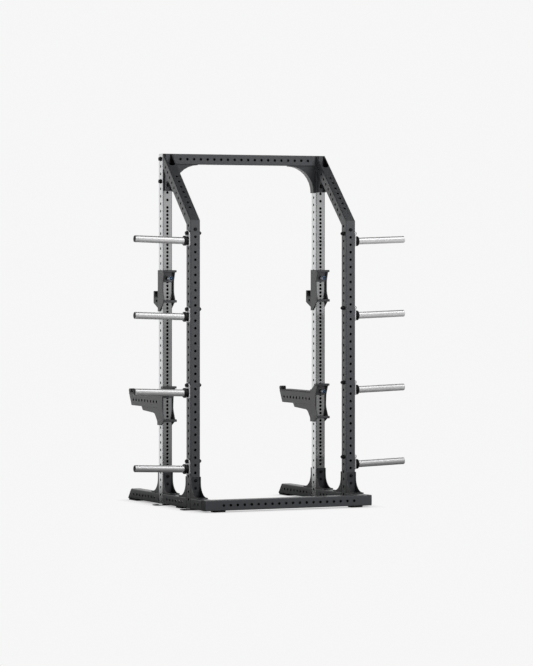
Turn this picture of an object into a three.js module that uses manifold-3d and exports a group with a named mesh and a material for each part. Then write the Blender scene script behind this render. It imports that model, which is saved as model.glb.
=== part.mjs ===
// A half rack for barbell training: two side frames of square tube joined by a crossbar at the top and a
// crossmember on the floor. A J-cup and a spotter arm slide on each front upright and are held by pull pins.
// Millimetres. +Z is up, -Y is the user's side, +X is the user's right when facing the rack. The origin is on
// the floor, at the centre of the rack's outline.
import * as THREE from "three";
import { mergeVertices } from "three/addons/utils/BufferGeometryUtils.js";
import Module from "manifold-3d";

const wasm = await Module();
wasm.setup();

// ---- driving dimensions ----
const TUBE = 70; // outside width of every square tube
const WALL = 3;
const HALF = TUBE / 2;
const GAP = 0.3; // between pieces that are bolted face to face
const HEIGHT = 2355; // top of the front uprights
const LENGTH = 1304; // front tips to the rear crossmember's rear face
const UPRIGHT_X = 570.5; // centre plane of each side frame
const REAR_REACH = 243; // rear upright to rear crossmember, centre to centre
const FRAME_DEPTH = 460; // front upright to rear upright, centre to centre

const CROSS_Y = LENGTH / 2 - HALF;
const REAR_Y = CROSS_Y - REAR_REACH;
const FRONT_Y = REAR_Y - FRAME_DEPTH;
const TIP_Y = -LENGTH / 2;

const PAD = 10; // rubber feet lift the floor tubes by this much
const RAIL_TOP = PAD + TUBE;
const BEND_Z = 1906; // the rear face of the rear upright ends here and the brace starts
const TIP_SLANT = 58; // the front rail's top ends this far behind its lowest point

// pin holes in the front uprights' rear walls
const PIN_PITCH = 25;
const FIRST_PIN_Z = 245;
const LAST_PIN_Z = 1995;
const HOLE_RADIUS = 8.5;
const HOLE_SIDES = 8;

// floor plates under the uprights
const PLATE_THICK = 6;
const TAB_REACH = 50; // beyond the upright's outer face

// rubber feet
const FOOT_HALF = 30;
const FRONT_FOOT_LENGTH = 140;
const REAR_FOOT_LENGTH = 86;
const REAR_FOOT_X = 500;

// foot brackets
const BRACKET_TOP = 220;
const BRACKET_PLATE = 6;
const WEB = 5;
const FLARE_REACH = 125; // along the rail, from the upright's face
const FLARE_TOE = 8; // height of the flare's tip
const FLARE_BEND = [22, 6]; // the flare's control point, from the plate and from the tip's height
const FLARE_HEAD = 6; // the flare starts this far from the plate at the top

// top corner pieces
const FLANGE_LOW = 2105;
const ARCH_START = 35; // the arch in the slant bracket's webs, from the upright's rear face
const ARCH_LENGTH = 106;
const ARCH_SPRING = 32; // heights of the arch above the bracket's foot
const ARCH_BEND = 62;
const ARCH_CROWN = [48, 54]; // from the arch's start and from the foot
const FLANGE_THICK = 8;
const GUSSET_RADIUS = 180;
const GUSSET_DEPTH = 50;
const GUSSET_SKIN = 5;
const GUSSET_TOE = 4; // thickness where the quarter round runs out
const GUSSET_ARC_SIDES = 40;

// weight pegs
const PEG_HEIGHTS = [270, 770, 1270, 1770];
const PEG_TIP_X = 990;
const PEG_RADIUS = 23;
const PEG_TILT = 2; // degrees, tip up
const PEG_FLANGE_RADIUS = 33;
const PEG_HUB_RADIUS = 26;
const PEG_PLATE = 8;
const PEG_PLATE_HALF_WIDTH = 31;
const PEG_PLATE_UP = 70;
const PEG_PLATE_DOWN = 35;
const PEG_HUB_REACH = 22;
const PEG_FLANGE_THICK = 12;

// carriages
const RUNNING = 1; // clearance round the upright
const SIDE_PLATE = 6;
const BORE = HALF + RUNNING; // half the space inside a carriage
const OUTSIDE = BORE + SIDE_PLATE;
const BAR_OVERHANG = 8; // the crossbars' ends stand out of the side plates
const PIN_RADIUS = 7.5;
const PIN_BORE_RADIUS = 8.3;
const PIN_SIDES = 12;
const PIN_TIP = -10; // from the upright's rear face, inside the tube
const KNOB_START = 15;
const KNOB_END = 64;
const KNOB_RADIUS = 16;
const BUSH_RADIUS = 13;
const BUSH_END = 14;
const UPPER_BAR_REACH = 41; // a crossbar's rear edge, from the upright's rear face
const LOWER_BAR_REACH = 45;
const PIN_PLATE_LOW = -26;
const JCUP_PIN_Z = 1520;
const SPOTTER_PIN_Z = 745;

// ---- materials ----
const paint = (color, roughness, metalness) =>
  new THREE.MeshStandardMaterial({ color, roughness, metalness });
const charcoal = paint(0x4a4c50, 0.55, 0.2);
const stainless = paint(0xb4b5b8, 0.35, 1.0);
const blackSteel = paint(0x1f2022, 0.5, 0.2);
const chrome = paint(0xd8dadd, 0.15, 1.0);
const silverPlate = paint(0xb9bbbf, 0.4, 0.8);
const blackPlastic = paint(0x141416, 0.6, 0.0);
const rubber = paint(0x101010, 0.9, 0.0);
const knobMetal = paint(0x9fb4c8, 0.3, 0.9);

// ---- solids ----
function solidOf(geometry) {
  const bare = geometry.clone();
  bare.deleteAttribute("normal");
  bare.deleteAttribute("uv");
  const merged = mergeVertices(bare, 1e-4);
  return new wasm.Manifold(
    new wasm.Mesh({
      numProp: 3,
      vertProperties: new Float32Array(merged.attributes.position.array),
      triVerts: new Uint32Array(merged.index.array),
    }),
  );
}

function geometryOf(solid) {
  const mesh = solid.getMesh();
  const geometry = new THREE.BufferGeometry();
  geometry.setAttribute("position", new THREE.BufferAttribute(mesh.vertProperties, 3));
  geometry.setIndex(new THREE.BufferAttribute(mesh.triVerts, 1));
  geometry.computeVertexNormals();
  return geometry;
}

function join(...solids) {
  return solids.reduce((whole, next) => whole.add(next));
}

function cut(solid, ...tools) {
  return tools.reduce((rest, tool) => rest.subtract(tool), solid);
}

function block(x, y, z) {
  const geometry = new THREE.BoxGeometry(x[1] - x[0], y[1] - y[0], z[1] - z[0]);
  geometry.translate((x[0] + x[1]) / 2, (y[0] + y[1]) / 2, (z[0] + z[1]) / 2);
  return solidOf(geometry);
}

// An outline in the side view, with y to the right and z up, extruded along x. A curve that starts where a
// line ends repeats that point, and the repeat is dropped.
function sideExtrusion(shape, x, arcSegments = 8) {
  const points = shape.getPoints(arcSegments);
  const single = points.filter((point, i) => i === 0 || point.distanceTo(points[i - 1]) > 1e-3);
  const geometry = new THREE.ExtrudeGeometry(new THREE.Shape(single), {
    depth: x[1] - x[0],
    bevelEnabled: false,
  });
  geometry.applyMatrix4(
    new THREE.Matrix4().makeBasis(
      new THREE.Vector3(0, 1, 0),
      new THREE.Vector3(0, 0, 1),
      new THREE.Vector3(1, 0, 0),
    ),
  );
  geometry.translate(x[0], 0, 0);
  return solidOf(geometry);
}

function outline(points) {
  return new THREE.Shape(points.map(([a, b]) => new THREE.Vector2(a, b)));
}

// A round bar along y from y[0] to y[1].
function barAlongY(radius, y, x, z, sides) {
  const geometry = new THREE.CylinderGeometry(radius, radius, y[1] - y[0], sides);
  geometry.rotateY(Math.PI / sides);
  geometry.translate(x, (y[0] + y[1]) / 2, z);
  return solidOf(geometry);
}

// A round bar along x from x[0] to x[1], about the x axis.
function barAlongX(radius, x, sides) {
  const geometry = new THREE.CylinderGeometry(radius, radius, x[1] - x[0], sides);
  geometry.rotateZ(-Math.PI / 2);
  geometry.translate((x[0] + x[1]) / 2, 0, 0);
  return solidOf(geometry);
}

function around(centre, half) {
  return [centre - half, centre + half];
}

// ---- frame pieces, each in its side frame: x = 0 is the frame's centre plane and +x is outward ----
const FRONT_FACE_REAR = FRONT_Y + HALF; // rear face of the front upright
const REAR_FACE_REAR = REAR_Y + HALF; // rear face of the rear upright
const BRACE_SLOPE = (HEIGHT - BEND_Z) / FRAME_DEPTH;
const BRACE_ANGLE = Math.atan(BRACE_SLOPE);
const BEND_DROP = TUBE * Math.tan((Math.PI / 2 - BRACE_ANGLE) / 2);
const BRACE_BAND = TUBE / Math.cos(BRACE_ANGLE); // the brace's height, measured upright
const HOLLOW = HALF - WALL;

function floorPlate(y) {
  return block([-HALF, HALF + TAB_REACH], around(y, HALF), [0, PLATE_THICK]);
}

function frontUpright() {
  const pinHoles = [];
  for (let z = FIRST_PIN_Z; z <= LAST_PIN_Z; z += PIN_PITCH) {
    pinHoles.push(
      barAlongY(HOLE_RADIUS, [FRONT_FACE_REAR - WALL - 1, FRONT_FACE_REAR + 1], 0, z, HOLE_SIDES),
    );
  }
  const tube = cut(
    block([-HALF, HALF], around(FRONT_Y, HALF), [0, HEIGHT]),
    block([-HOLLOW, HOLLOW], around(FRONT_Y, HOLLOW), [PLATE_THICK, HEIGHT + 1]),
    ...pinHoles,
  );
  return join(tube, floorPlate(FRONT_Y));
}

// The rear upright ends in a mitre under the brace.
function rearUpright() {
  const end = BEND_Z - GAP;
  const mitred = (half, low, over) =>
    outline([
      [REAR_Y - half, low],
      [REAR_Y + half, low],
      [REAR_Y + half, end + over],
      [REAR_Y - half, end - BEND_DROP + over],
    ]);
  const tube = cut(
    sideExtrusion(mitred(HALF, 0, 0), [-HALF, HALF]),
    sideExtrusion(mitred(HOLLOW, PLATE_THICK, TUBE), [-HOLLOW, HOLLOW]),
  );
  return join(tube, floorPlate(REAR_Y));
}

// Height of the brace's upper face above a given y.
function braceTop(y) {
  return HEIGHT - BRACE_SLOPE * (y - FRONT_FACE_REAR);
}

function slantBrace() {
  const front = FRONT_FACE_REAR + GAP;
  const rear = REAR_FACE_REAR;
  const over = TUBE;
  const skin = WALL / Math.cos(BRACE_ANGLE);
  const tube = outline([
    [front, braceTop(front)],
    [front, braceTop(front) - BRACE_BAND],
    [REAR_Y - HALF, BEND_Z - BEND_DROP],
    [rear, BEND_Z],
  ]);
  const hollow = outline([
    [front - over, braceTop(front - over) - skin],
    [front - over, braceTop(front - over) - BRACE_BAND + skin],
    [rear + over, braceTop(rear + over) - BRACE_BAND + skin],
    [rear + over, braceTop(rear + over) - skin],
  ]);
  return cut(sideExtrusion(tube, [-HALF, HALF]), sideExtrusion(hollow, [-HOLLOW, HOLLOW]));
}

// A plate on the front upright with two webs up to the brace, each with an arch cut in its foot.
function slantBracket() {
  const front = FRONT_FACE_REAR + GAP;
  const under = (y) => braceTop(y) - BRACE_BAND - GAP;
  const archStart = FRONT_FACE_REAR + ARCH_START;
  const toe = (HEIGHT - BRACE_BAND - GAP - FLANGE_LOW) / BRACE_SLOPE + FRONT_FACE_REAR;
  const web = new THREE.Shape();
  web.moveTo(front, FLANGE_LOW);
  web.lineTo(archStart, FLANGE_LOW);
  web.lineTo(archStart, FLANGE_LOW + ARCH_SPRING);
  web.quadraticCurveTo(
    archStart,
    FLANGE_LOW + ARCH_BEND,
    archStart + ARCH_CROWN[0],
    FLANGE_LOW + ARCH_CROWN[1],
  );
  web.lineTo(archStart + ARCH_LENGTH, FLANGE_LOW);
  web.lineTo(toe, FLANGE_LOW);
  web.lineTo(front, under(front));
  const plate = sideExtrusion(
    outline([
      [front, FLANGE_LOW],
      [front + BRACKET_PLATE, FLANGE_LOW],
      [front + BRACKET_PLATE, under(front + BRACKET_PLATE)],
      [front, under(front)],
    ]),
    [-HALF, HALF],
  );
  return join(
    plate,
    sideExtrusion(web, [HALF - WEB, HALF]),
    sideExtrusion(web, [-HALF, -HALF + WEB]),
  );
}

// A floor tube from y[0] to y[1], open at both ends.
function floorTube(y) {
  return cut(
    block([-HALF, HALF], y, [PAD, RAIL_TOP]),
    block([-HOLLOW, HOLLOW], [y[0] - 1, y[1] + 1], [PAD + WALL, RAIL_TOP - WALL]),
  );
}

function frontRail() {
  const tip = TIP_Y;
  const end = FRONT_Y - HALF - GAP;
  const wedge = sideExtrusion(
    outline([
      [tip - 1, PAD - 1],
      [tip, PAD],
      [tip + TIP_SLANT, RAIL_TOP],
      [tip + TIP_SLANT, RAIL_TOP + 1],
      [tip - 1, RAIL_TOP + 1],
    ]),
    [-TUBE, TUBE],
  );
  return cut(floorTube([tip, end]), wedge);
}

function middleRail() {
  return floorTube([FRONT_FACE_REAR + GAP, REAR_Y - HALF - GAP]);
}

function rearRail() {
  return floorTube([REAR_FACE_REAR + GAP, CROSS_Y - HALF - GAP]);
}

// A bolted plate on an upright's face with two flared webs that stand on the floor tube.
// direction is +1 behind the upright and -1 in front of it.
function footBracket(face, direction) {
  const low = RAIL_TOP + GAP;
  const start = GAP;
  const web = new THREE.Shape();
  web.moveTo(start, low);
  web.lineTo(FLARE_REACH, low);
  web.lineTo(FLARE_REACH, low + FLARE_TOE);
  web.quadraticCurveTo(
    BRACKET_PLATE + FLARE_BEND[0],
    low + FLARE_TOE + FLARE_BEND[1],
    BRACKET_PLATE + FLARE_HEAD,
    BRACKET_TOP,
  );
  web.lineTo(start, BRACKET_TOP);
  const webs = [
    sideExtrusion(web, [HALF - WEB, HALF], 6),
    sideExtrusion(web, [-HALF, -HALF + WEB], 6),
  ];
  const plate = block([-HALF, HALF], [start, start + BRACKET_PLATE], [low, BRACKET_TOP]);
  const sole = block([-HALF, HALF], [start, FLARE_REACH], [low, low + WEB]);
  const geometry = geometryOf(join(plate, sole, ...webs));
  if (direction < 0) geometry.rotateZ(Math.PI);
  geometry.translate(0, face, 0);
  return geometry;
}

// ---- weight pegs on the rear upright's outer face ----
function pegBracket(z) {
  const face = HALF + GAP;
  const low = -PEG_PLATE_DOWN;
  const shoulder = PEG_PLATE_UP - PEG_PLATE_HALF_WIDTH;
  const shape = new THREE.Shape();
  shape.moveTo(-PEG_PLATE_HALF_WIDTH, low);
  shape.lineTo(PEG_PLATE_HALF_WIDTH, low);
  shape.lineTo(PEG_PLATE_HALF_WIDTH, shoulder);
  shape.absarc(0, shoulder, PEG_PLATE_HALF_WIDTH, 0, Math.PI, false);
  const plate = sideExtrusion(shape, [face, face + PEG_PLATE], 6);
  const hubStart = face + PEG_PLATE / 2;
  const flangeStart = face + PEG_HUB_REACH;
  const hub = barAlongX(PEG_HUB_RADIUS, [hubStart, flangeStart + 1], 16);
  const flange = barAlongX(PEG_FLANGE_RADIUS, [flangeStart, flangeStart + PEG_FLANGE_THICK], 16);
  return geometryOf(join(plate, hub, flange)).translate(0, REAR_Y, z);
}

// The sleeve leans up by PEG_TILT about the flange's outer face.
function pegSleeve(z) {
  const start = HALF + GAP + PEG_HUB_REACH + PEG_FLANGE_THICK;
  const tilt = THREE.MathUtils.degToRad(PEG_TILT);
  const length = (PEG_TIP_X - UPRIGHT_X - start - PEG_RADIUS * Math.sin(tilt)) / Math.cos(tilt);
  const clear = PEG_RADIUS * Math.sin(tilt) + GAP;
  const geometry = new THREE.CylinderGeometry(PEG_RADIUS, PEG_RADIUS, length - clear, 16);
  geometry.rotateZ(-Math.PI / 2);
  geometry.translate((length + clear) / 2, 0, 0);
  geometry.rotateY(-tilt);
  geometry.translate(start, REAR_Y, z);
  return geometry;
}

// ---- carriages: y = 0 is the front upright's centre, z = 0 is the pin's axis ----
const REAR_FACE = HALF; // the upright's rear face in the carriage's own frame
const WALL_FRONT = -BORE - SIDE_PLATE;

// Side plates, front wall, two rear crossbars and the pin plate. The side plates follow the given outline.
function carriageShell(sideOutline, wall, upperBar, lowerBar) {
  const bar = ([low, high], reach) =>
    block(around(0, OUTSIDE + BAR_OVERHANG), [BORE, REAR_FACE + reach], [low, high]);
  const pinPlate = block([-OUTSIDE, OUTSIDE], [BORE, BORE + SIDE_PLATE], [PIN_PLATE_LOW, upperBar[1]]);
  const bush = barAlongY(BUSH_RADIUS, [BORE, REAR_FACE + BUSH_END], 0, 0, PIN_SIDES);
  const shell = join(
    sideExtrusion(sideOutline, [BORE, OUTSIDE], 6),
    sideExtrusion(sideOutline, [-OUTSIDE, -BORE], 6),
    block([-OUTSIDE, OUTSIDE], [WALL_FRONT, -BORE], wall),
    bar(upperBar, UPPER_BAR_REACH),
    bar(lowerBar, LOWER_BAR_REACH),
    pinPlate,
    bush,
  );
  const bore = barAlongY(PIN_BORE_RADIUS, [0, REAR_FACE + BUSH_END + 1], 0, 0, PIN_SIDES);
  return cut(shell, bore);
}

// the J-cup, in its carriage's frame
const JCUP_TOP = 55;
const JCUP_UPPER_BAR = [40, JCUP_TOP];
const JCUP_LOWER_BAR = [-162, -145];
const JCUP_TIP = -222;
const JCUP_TIP_Y = -8; // rear end of the side plates' lowest edge
const JCUP_WALL_LOW = JCUP_TIP + 24;
const JCUP_UPPER_EDGE = REAR_FACE + 34; // the side plates' rear edge at each crossbar
const JCUP_LOWER_EDGE = REAR_FACE + 38;
const JCUP_SHOULDER = REAR_FACE + 26;
const JCUP_WAIST = [REAR_FACE + 12, -14]; // where the hollow rear edge ends, and the curve's control point
const JCUP_WAIST_BEND = [REAR_FACE - 6, -86];
const HOOK_HALF_WIDTH = 34;
const HOOK_FRONT = -124; // outer face of the lip
const HOOK_ROOT = -203; // underside of the hook at the carriage and at the lip
const HOOK_LOW = -170;
const HOOK_LIP_TOP = -92;
const HOOK_SEAT = -132; // top of the hook's steel
const HOOK_STEEL = 8;
const LINER = 6;
const LINER_BACK_TOP = -50;
const LINER_LIP_LOW = -168;
const LIP_OUTER = HOOK_FRONT + 7; // front face of the lip's steel
const LIP_INNER = LIP_OUTER + HOOK_STEEL;

function jcupCarriage() {
  const side = new THREE.Shape();
  side.moveTo(WALL_FRONT, JCUP_TOP);
  side.lineTo(WALL_FRONT, JCUP_TIP);
  side.lineTo(JCUP_TIP_Y, JCUP_TIP);
  side.lineTo(JCUP_SHOULDER, JCUP_LOWER_BAR[0]);
  side.lineTo(JCUP_LOWER_EDGE, JCUP_LOWER_BAR[0]);
  side.lineTo(JCUP_LOWER_EDGE, JCUP_LOWER_BAR[1]);
  side.quadraticCurveTo(...JCUP_WAIST_BEND, ...JCUP_WAIST);
  side.lineTo(JCUP_UPPER_EDGE, JCUP_UPPER_BAR[0]);
  side.lineTo(JCUP_UPPER_EDGE, JCUP_TOP);
  const shell = carriageShell(side, [JCUP_WALL_LOW, JCUP_TOP], JCUP_UPPER_BAR, JCUP_LOWER_BAR);
  const seatBack = -BORE - 1;
  const hook = sideExtrusion(
    outline([
      [seatBack, HOOK_ROOT],
      [LIP_OUTER, HOOK_LOW],
      [LIP_OUTER, HOOK_LIP_TOP],
      [LIP_INNER, HOOK_LIP_TOP],
      [LIP_INNER, HOOK_SEAT],
      [seatBack, HOOK_SEAT],
    ]),
    [-HOOK_HALF_WIDTH, HOOK_HALF_WIDTH],
  );
  return join(shell, hook);
}

// The plastic that the barbell touches: an outer shell on the lip, the lip's inside, the seat and the back.
function jcupLiner() {
  const outer = LIP_OUTER - GAP;
  const inner = LIP_INNER + GAP;
  const back = WALL_FRONT - GAP;
  const top = HOOK_LIP_TOP + GAP;
  const seat = HOOK_SEAT + GAP;
  return sideExtrusion(
    outline([
      [outer, LINER_LIP_LOW],
      [outer, top],
      [inner, top],
      [inner, seat],
      [back, seat],
      [back, LINER_BACK_TOP],
      [back - LINER, LINER_BACK_TOP],
      [back - LINER, seat + LINER],
      [inner + LINER, seat + LINER],
      [inner + LINER, top + LINER],
      [HOOK_FRONT, top + LINER],
      [HOOK_FRONT, LINER_LIP_LOW],
    ]),
    [-HOOK_HALF_WIDTH, HOOK_HALF_WIDTH],
  );
}

// the spotter arm, in its carriage's frame
const SPOTTER_TOP = 53;
const SPOTTER_UPPER_BAR = [38, SPOTTER_TOP];
const SPOTTER_LOWER_BAR = [-185, -168];
const SPOTTER_TIP = -209;
const SPOTTER_TIP_Y = 18; // rear end of the side plates' lowest edge
const SPOTTER_UPPER_EDGE = REAR_FACE + 34; // the side plates' rear edge at each crossbar
const SPOTTER_LOWER_EDGE = REAR_FACE + 36;
const SPOTTER_SHOULDER = REAR_FACE + 28;
const SPOTTER_WAIST = [REAR_FACE + 8, -20]; // where the hollow rear edge ends, and the curve's control point
const SPOTTER_WAIST_BEND = [REAR_FACE - 8, -110];
const SLOPE_TOP_Y = REAR_FACE + 2; // the side plates' top edge slopes down from here to the front wall
const ARM_TOP = -12;
const SLOPE_FOOT = [-21, ARM_TOP + 25];
const WALL_TOP = ARM_TOP + 22;
const ARM_BOTTOM = -94;
const ARM_FRONT = -530; // top corner of the arm's slanted end
const ARM_FRONT_LOW = -486;
const GUSSET_FRONT = -314; // where the deep part of the arm starts
const GUSSET_RUN = 24; // length of the slanted edge at its start
const GUSSET_LOW = -120;
const GUSSET_MIDDLE = [-150, GUSSET_LOW - 7]; // its lower edge bends here
const GUSSET_BEND = [-68, GUSSET_LOW - 16]; // control point of the curve down to the front wall
const GUSSET_FOOT = -174;
const LINER_TOP = ARM_TOP + GAP + 8;
const ARM_WALL = 4;
const STOP_REAR = -498;
const STOP_FRONT = ARM_FRONT - 4;
const STOP_INSIDE = 6; // the stop stands on one side of the arm, from here to the arm's face
const STOP_TOP = 19;
const STOP_BEVEL = 7;

function spotterCarriage() {
  const side = new THREE.Shape();
  side.moveTo(SLOPE_TOP_Y, SPOTTER_TOP);
  side.lineTo(...SLOPE_FOOT);
  side.lineTo(WALL_FRONT, WALL_TOP);
  side.lineTo(WALL_FRONT, SPOTTER_TIP);
  side.lineTo(SPOTTER_TIP_Y, SPOTTER_TIP);
  side.lineTo(SPOTTER_SHOULDER, SPOTTER_LOWER_BAR[0]);
  side.lineTo(SPOTTER_LOWER_EDGE, SPOTTER_LOWER_BAR[0]);
  side.lineTo(SPOTTER_LOWER_EDGE, SPOTTER_LOWER_BAR[1]);
  side.quadraticCurveTo(...SPOTTER_WAIST_BEND, ...SPOTTER_WAIST);
  side.lineTo(SPOTTER_UPPER_EDGE, SPOTTER_UPPER_BAR[0]);
  side.lineTo(SPOTTER_UPPER_EDGE, SPOTTER_TOP);
  const wall = [SPOTTER_TIP + 10, WALL_TOP];
  const shell = carriageShell(side, wall, SPOTTER_UPPER_BAR, SPOTTER_LOWER_BAR);
  const arm = new THREE.Shape();
  arm.moveTo(-BORE, ARM_TOP);
  arm.lineTo(ARM_FRONT, ARM_TOP);
  arm.lineTo(ARM_FRONT_LOW, ARM_BOTTOM);
  arm.lineTo(GUSSET_FRONT, ARM_BOTTOM);
  arm.lineTo(GUSSET_FRONT + GUSSET_RUN, GUSSET_LOW);
  arm.lineTo(...GUSSET_MIDDLE);
  arm.quadraticCurveTo(...GUSSET_BEND, WALL_FRONT + 1, GUSSET_FOOT);
  arm.lineTo(-BORE, GUSSET_FOOT);
  const inside = sideExtrusion(
    outline([
      [ARM_FRONT - 1, ARM_TOP - ARM_WALL],
      [ARM_FRONT - 1, ARM_BOTTOM + ARM_WALL],
      [WALL_FRONT, ARM_BOTTOM + ARM_WALL],
      [WALL_FRONT, ARM_TOP - ARM_WALL],
    ]),
    [-OUTSIDE + ARM_WALL, OUTSIDE - ARM_WALL],
  );
  const betweenGussets = block(
    [-OUTSIDE + ARM_WALL, OUTSIDE - ARM_WALL],
    [GUSSET_FRONT - 1, WALL_FRONT],
    [SPOTTER_TIP, ARM_BOTTOM],
  );
  return join(shell, cut(sideExtrusion(arm, [-OUTSIDE, OUTSIDE], 6), inside, betweenGussets));
}

// The plastic strip that the barbell lands on, over the whole arm.
function spotterLiner() {
  return block([-OUTSIDE, OUTSIDE], [ARM_FRONT + 1, WALL_FRONT - GAP], [ARM_TOP + GAP, LINER_TOP]);
}

// A block that keeps the barbell from rolling off the arm's tip. It stands on the same side of both arms, so
// x gives its place in the side frame.
function spotterStop(x) {
  const low = LINER_TOP + GAP;
  return sideExtrusion(
    outline([
      [STOP_FRONT, low],
      [STOP_REAR, low],
      [STOP_REAR, STOP_TOP - STOP_BEVEL],
      [STOP_REAR - STOP_BEVEL, STOP_TOP],
      [STOP_FRONT + STOP_BEVEL, STOP_TOP],
      [STOP_FRONT, STOP_TOP - STOP_BEVEL],
    ]),
    x,
  );
}

function pullPin() {
  const shaft = barAlongY(PIN_RADIUS, [REAR_FACE + PIN_TIP, REAR_FACE + KNOB_START + 1], 0, 0, PIN_SIDES);
  const knob = barAlongY(KNOB_RADIUS, [REAR_FACE + KNOB_START, REAR_FACE + KNOB_END], 0, 0, 16);
  return join(shaft, knob);
}

// ---- pieces that join the two side frames ----
const CLEAR_X = UPRIGHT_X - HALF; // inner face of an upright
const FRAME_X = UPRIGHT_X + HALF; // outer face of an upright
const CROSSBAR_LOW = HEIGHT - TUBE;

function tubeAlongX(halfLength, y, z) {
  return cut(
    block([-halfLength, halfLength], y, z),
    block(
      [-halfLength - 1, halfLength + 1],
      [y[0] + WALL, y[1] - WALL],
      [z[0] + WALL, z[1] - WALL],
    ),
  );
}

function topCrossbar() {
  return tubeAlongX(CLEAR_X - GAP * 2 - FLANGE_THICK, around(FRONT_Y, HALF), [CROSSBAR_LOW, HEIGHT]);
}

function rearCrossmember() {
  return tubeAlongX(FRAME_X, around(CROSS_Y, HALF), [PAD, RAIL_TOP]);
}

// The corner box under the crossbar's end, with the flange that bolts to the upright. Its hollow is open to
// the crossbar above.
function topGusset() {
  const outer = -HALF - GAP;
  const inner = outer - FLANGE_THICK;
  const top = CROSSBAR_LOW - GAP;
  const reach = GUSSET_RADIUS + GUSSET_TOE;
  const centreX = inner - reach;
  const centreZ = top - reach;
  const corner = (radius, halfDepth, over) =>
    cut(
      block([centreX, inner], around(FRONT_Y, halfDepth), [centreZ, top + over]),
      barAlongY(radius, around(FRONT_Y, halfDepth + 1), centreX, centreZ, GUSSET_ARC_SIDES),
    );
  const flange = block([inner, outer], around(FRONT_Y, HALF), [FLANGE_LOW, HEIGHT]);
  const box = corner(GUSSET_RADIUS, GUSSET_DEPTH / 2, 0);
  const hollow = corner(GUSSET_RADIUS + GUSSET_SKIN, GUSSET_DEPTH / 2 - GUSSET_SKIN, 1);
  return join(flange, cut(box, hollow));
}

function frontFoot() {
  return block([-FOOT_HALF, FOOT_HALF], [TIP_Y, TIP_Y + FRONT_FOOT_LENGTH], [0, PAD - GAP]);
}

function rearFoot() {
  const x = REAR_FOOT_X - UPRIGHT_X;
  return block(around(x, REAR_FOOT_LENGTH / 2), around(CROSS_Y, FOOT_HALF), [0, PAD - GAP]);
}

// ---- assembly ----
const rack = new THREE.Group();

function add(group, name, shape, material) {
  const geometry = shape.isBufferGeometry ? shape : geometryOf(shape);
  const mesh = new THREE.Mesh(geometry, material);
  mesh.name = name;
  group.add(mesh);
}

function carriageGroup(side, pinHeight) {
  const group = new THREE.Group();
  group.position.set(0, FRONT_Y, pinHeight);
  side.add(group);
  return group;
}

for (const [label, sign] of [
  ["left", -1],
  ["right", 1],
]) {
  const side = new THREE.Group();
  side.position.x = sign * UPRIGHT_X;
  side.scale.x = sign;
  rack.add(side);

  add(side, `front_upright_${label}`, frontUpright(), stainless);
  add(side, `rear_upright_${label}`, rearUpright(), charcoal);
  add(side, `slant_brace_${label}`, slantBrace(), charcoal);
  add(side, `slant_bracket_${label}`, slantBracket(), charcoal);
  add(side, `top_gusset_${label}`, topGusset(), charcoal);
  add(side, `front_rail_${label}`, frontRail(), charcoal);
  add(side, `middle_rail_${label}`, middleRail(), charcoal);
  add(side, `rear_rail_${label}`, rearRail(), charcoal);
  add(side, `front_foot_${label}`, frontFoot(), rubber);
  add(side, `rear_foot_${label}`, rearFoot(), rubber);

  const footings = [
    ["foot_bracket_front_a", FRONT_Y - HALF, -1],
    ["foot_bracket_front_b", FRONT_Y + HALF, 1],
    ["foot_bracket_rear_a", REAR_Y - HALF, -1],
    ["foot_bracket_rear_b", REAR_Y + HALF, 1],
  ];
  for (const [name, face, direction] of footings) {
    add(side, `${name}_${label}`, footBracket(face, direction), charcoal);
  }

  PEG_HEIGHTS.forEach((z, index) => {
    add(side, `peg_bracket_${label}_${index + 1}`, pegBracket(z), silverPlate);
    add(side, `peg_sleeve_${label}_${index + 1}`, pegSleeve(z), chrome);
  });

  const jcup = carriageGroup(side, JCUP_PIN_Z);
  add(jcup, `jcup_carriage_${label}`, jcupCarriage(), blackSteel);
  add(jcup, `jcup_liner_${label}`, jcupLiner(), blackPlastic);
  add(jcup, `jcup_pin_${label}`, pullPin(), knobMetal);

  const spotter = carriageGroup(side, SPOTTER_PIN_Z);
  add(spotter, `spotter_carriage_${label}`, spotterCarriage(), blackSteel);
  add(spotter, `spotter_liner_${label}`, spotterLiner(), blackPlastic);
  const stopSide = sign > 0 ? [STOP_INSIDE, OUTSIDE] : [-OUTSIDE, -STOP_INSIDE];
  add(spotter, `spotter_stop_${label}`, spotterStop(stopSide), blackPlastic);
  add(spotter, `spotter_pin_${label}`, pullPin(), knobMetal);
}

add(rack, "top_crossbar", topCrossbar(), charcoal);
add(rack, "rear_crossmember", rearCrossmember(), charcoal);

export default rack;
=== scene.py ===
import math

import bmesh
import bpy
from mathutils import Matrix, Vector
from mathutils.geometry import tessellate_polygon


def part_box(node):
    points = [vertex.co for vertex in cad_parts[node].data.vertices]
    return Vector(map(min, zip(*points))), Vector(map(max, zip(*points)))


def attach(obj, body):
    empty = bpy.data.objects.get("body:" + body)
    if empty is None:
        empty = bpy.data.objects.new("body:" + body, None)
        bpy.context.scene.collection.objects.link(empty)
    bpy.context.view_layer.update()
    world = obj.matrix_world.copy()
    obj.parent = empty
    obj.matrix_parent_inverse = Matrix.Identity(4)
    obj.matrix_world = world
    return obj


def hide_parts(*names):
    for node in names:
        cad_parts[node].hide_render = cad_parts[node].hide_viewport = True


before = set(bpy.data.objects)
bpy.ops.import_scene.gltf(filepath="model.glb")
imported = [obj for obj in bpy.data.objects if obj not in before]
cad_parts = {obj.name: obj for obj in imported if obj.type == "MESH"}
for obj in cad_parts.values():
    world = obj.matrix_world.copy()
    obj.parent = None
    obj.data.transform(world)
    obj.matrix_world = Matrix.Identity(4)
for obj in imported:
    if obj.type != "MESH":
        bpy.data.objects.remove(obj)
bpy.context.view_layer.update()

MM = 0.001


def box_mm(node):
    low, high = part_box(node)
    return low / MM, high / MM


def middle(low, high):
    return (low + high) / 2


def middle_height(node):
    low, high = box_mm(node)
    return middle(low.z, high.z)


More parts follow.
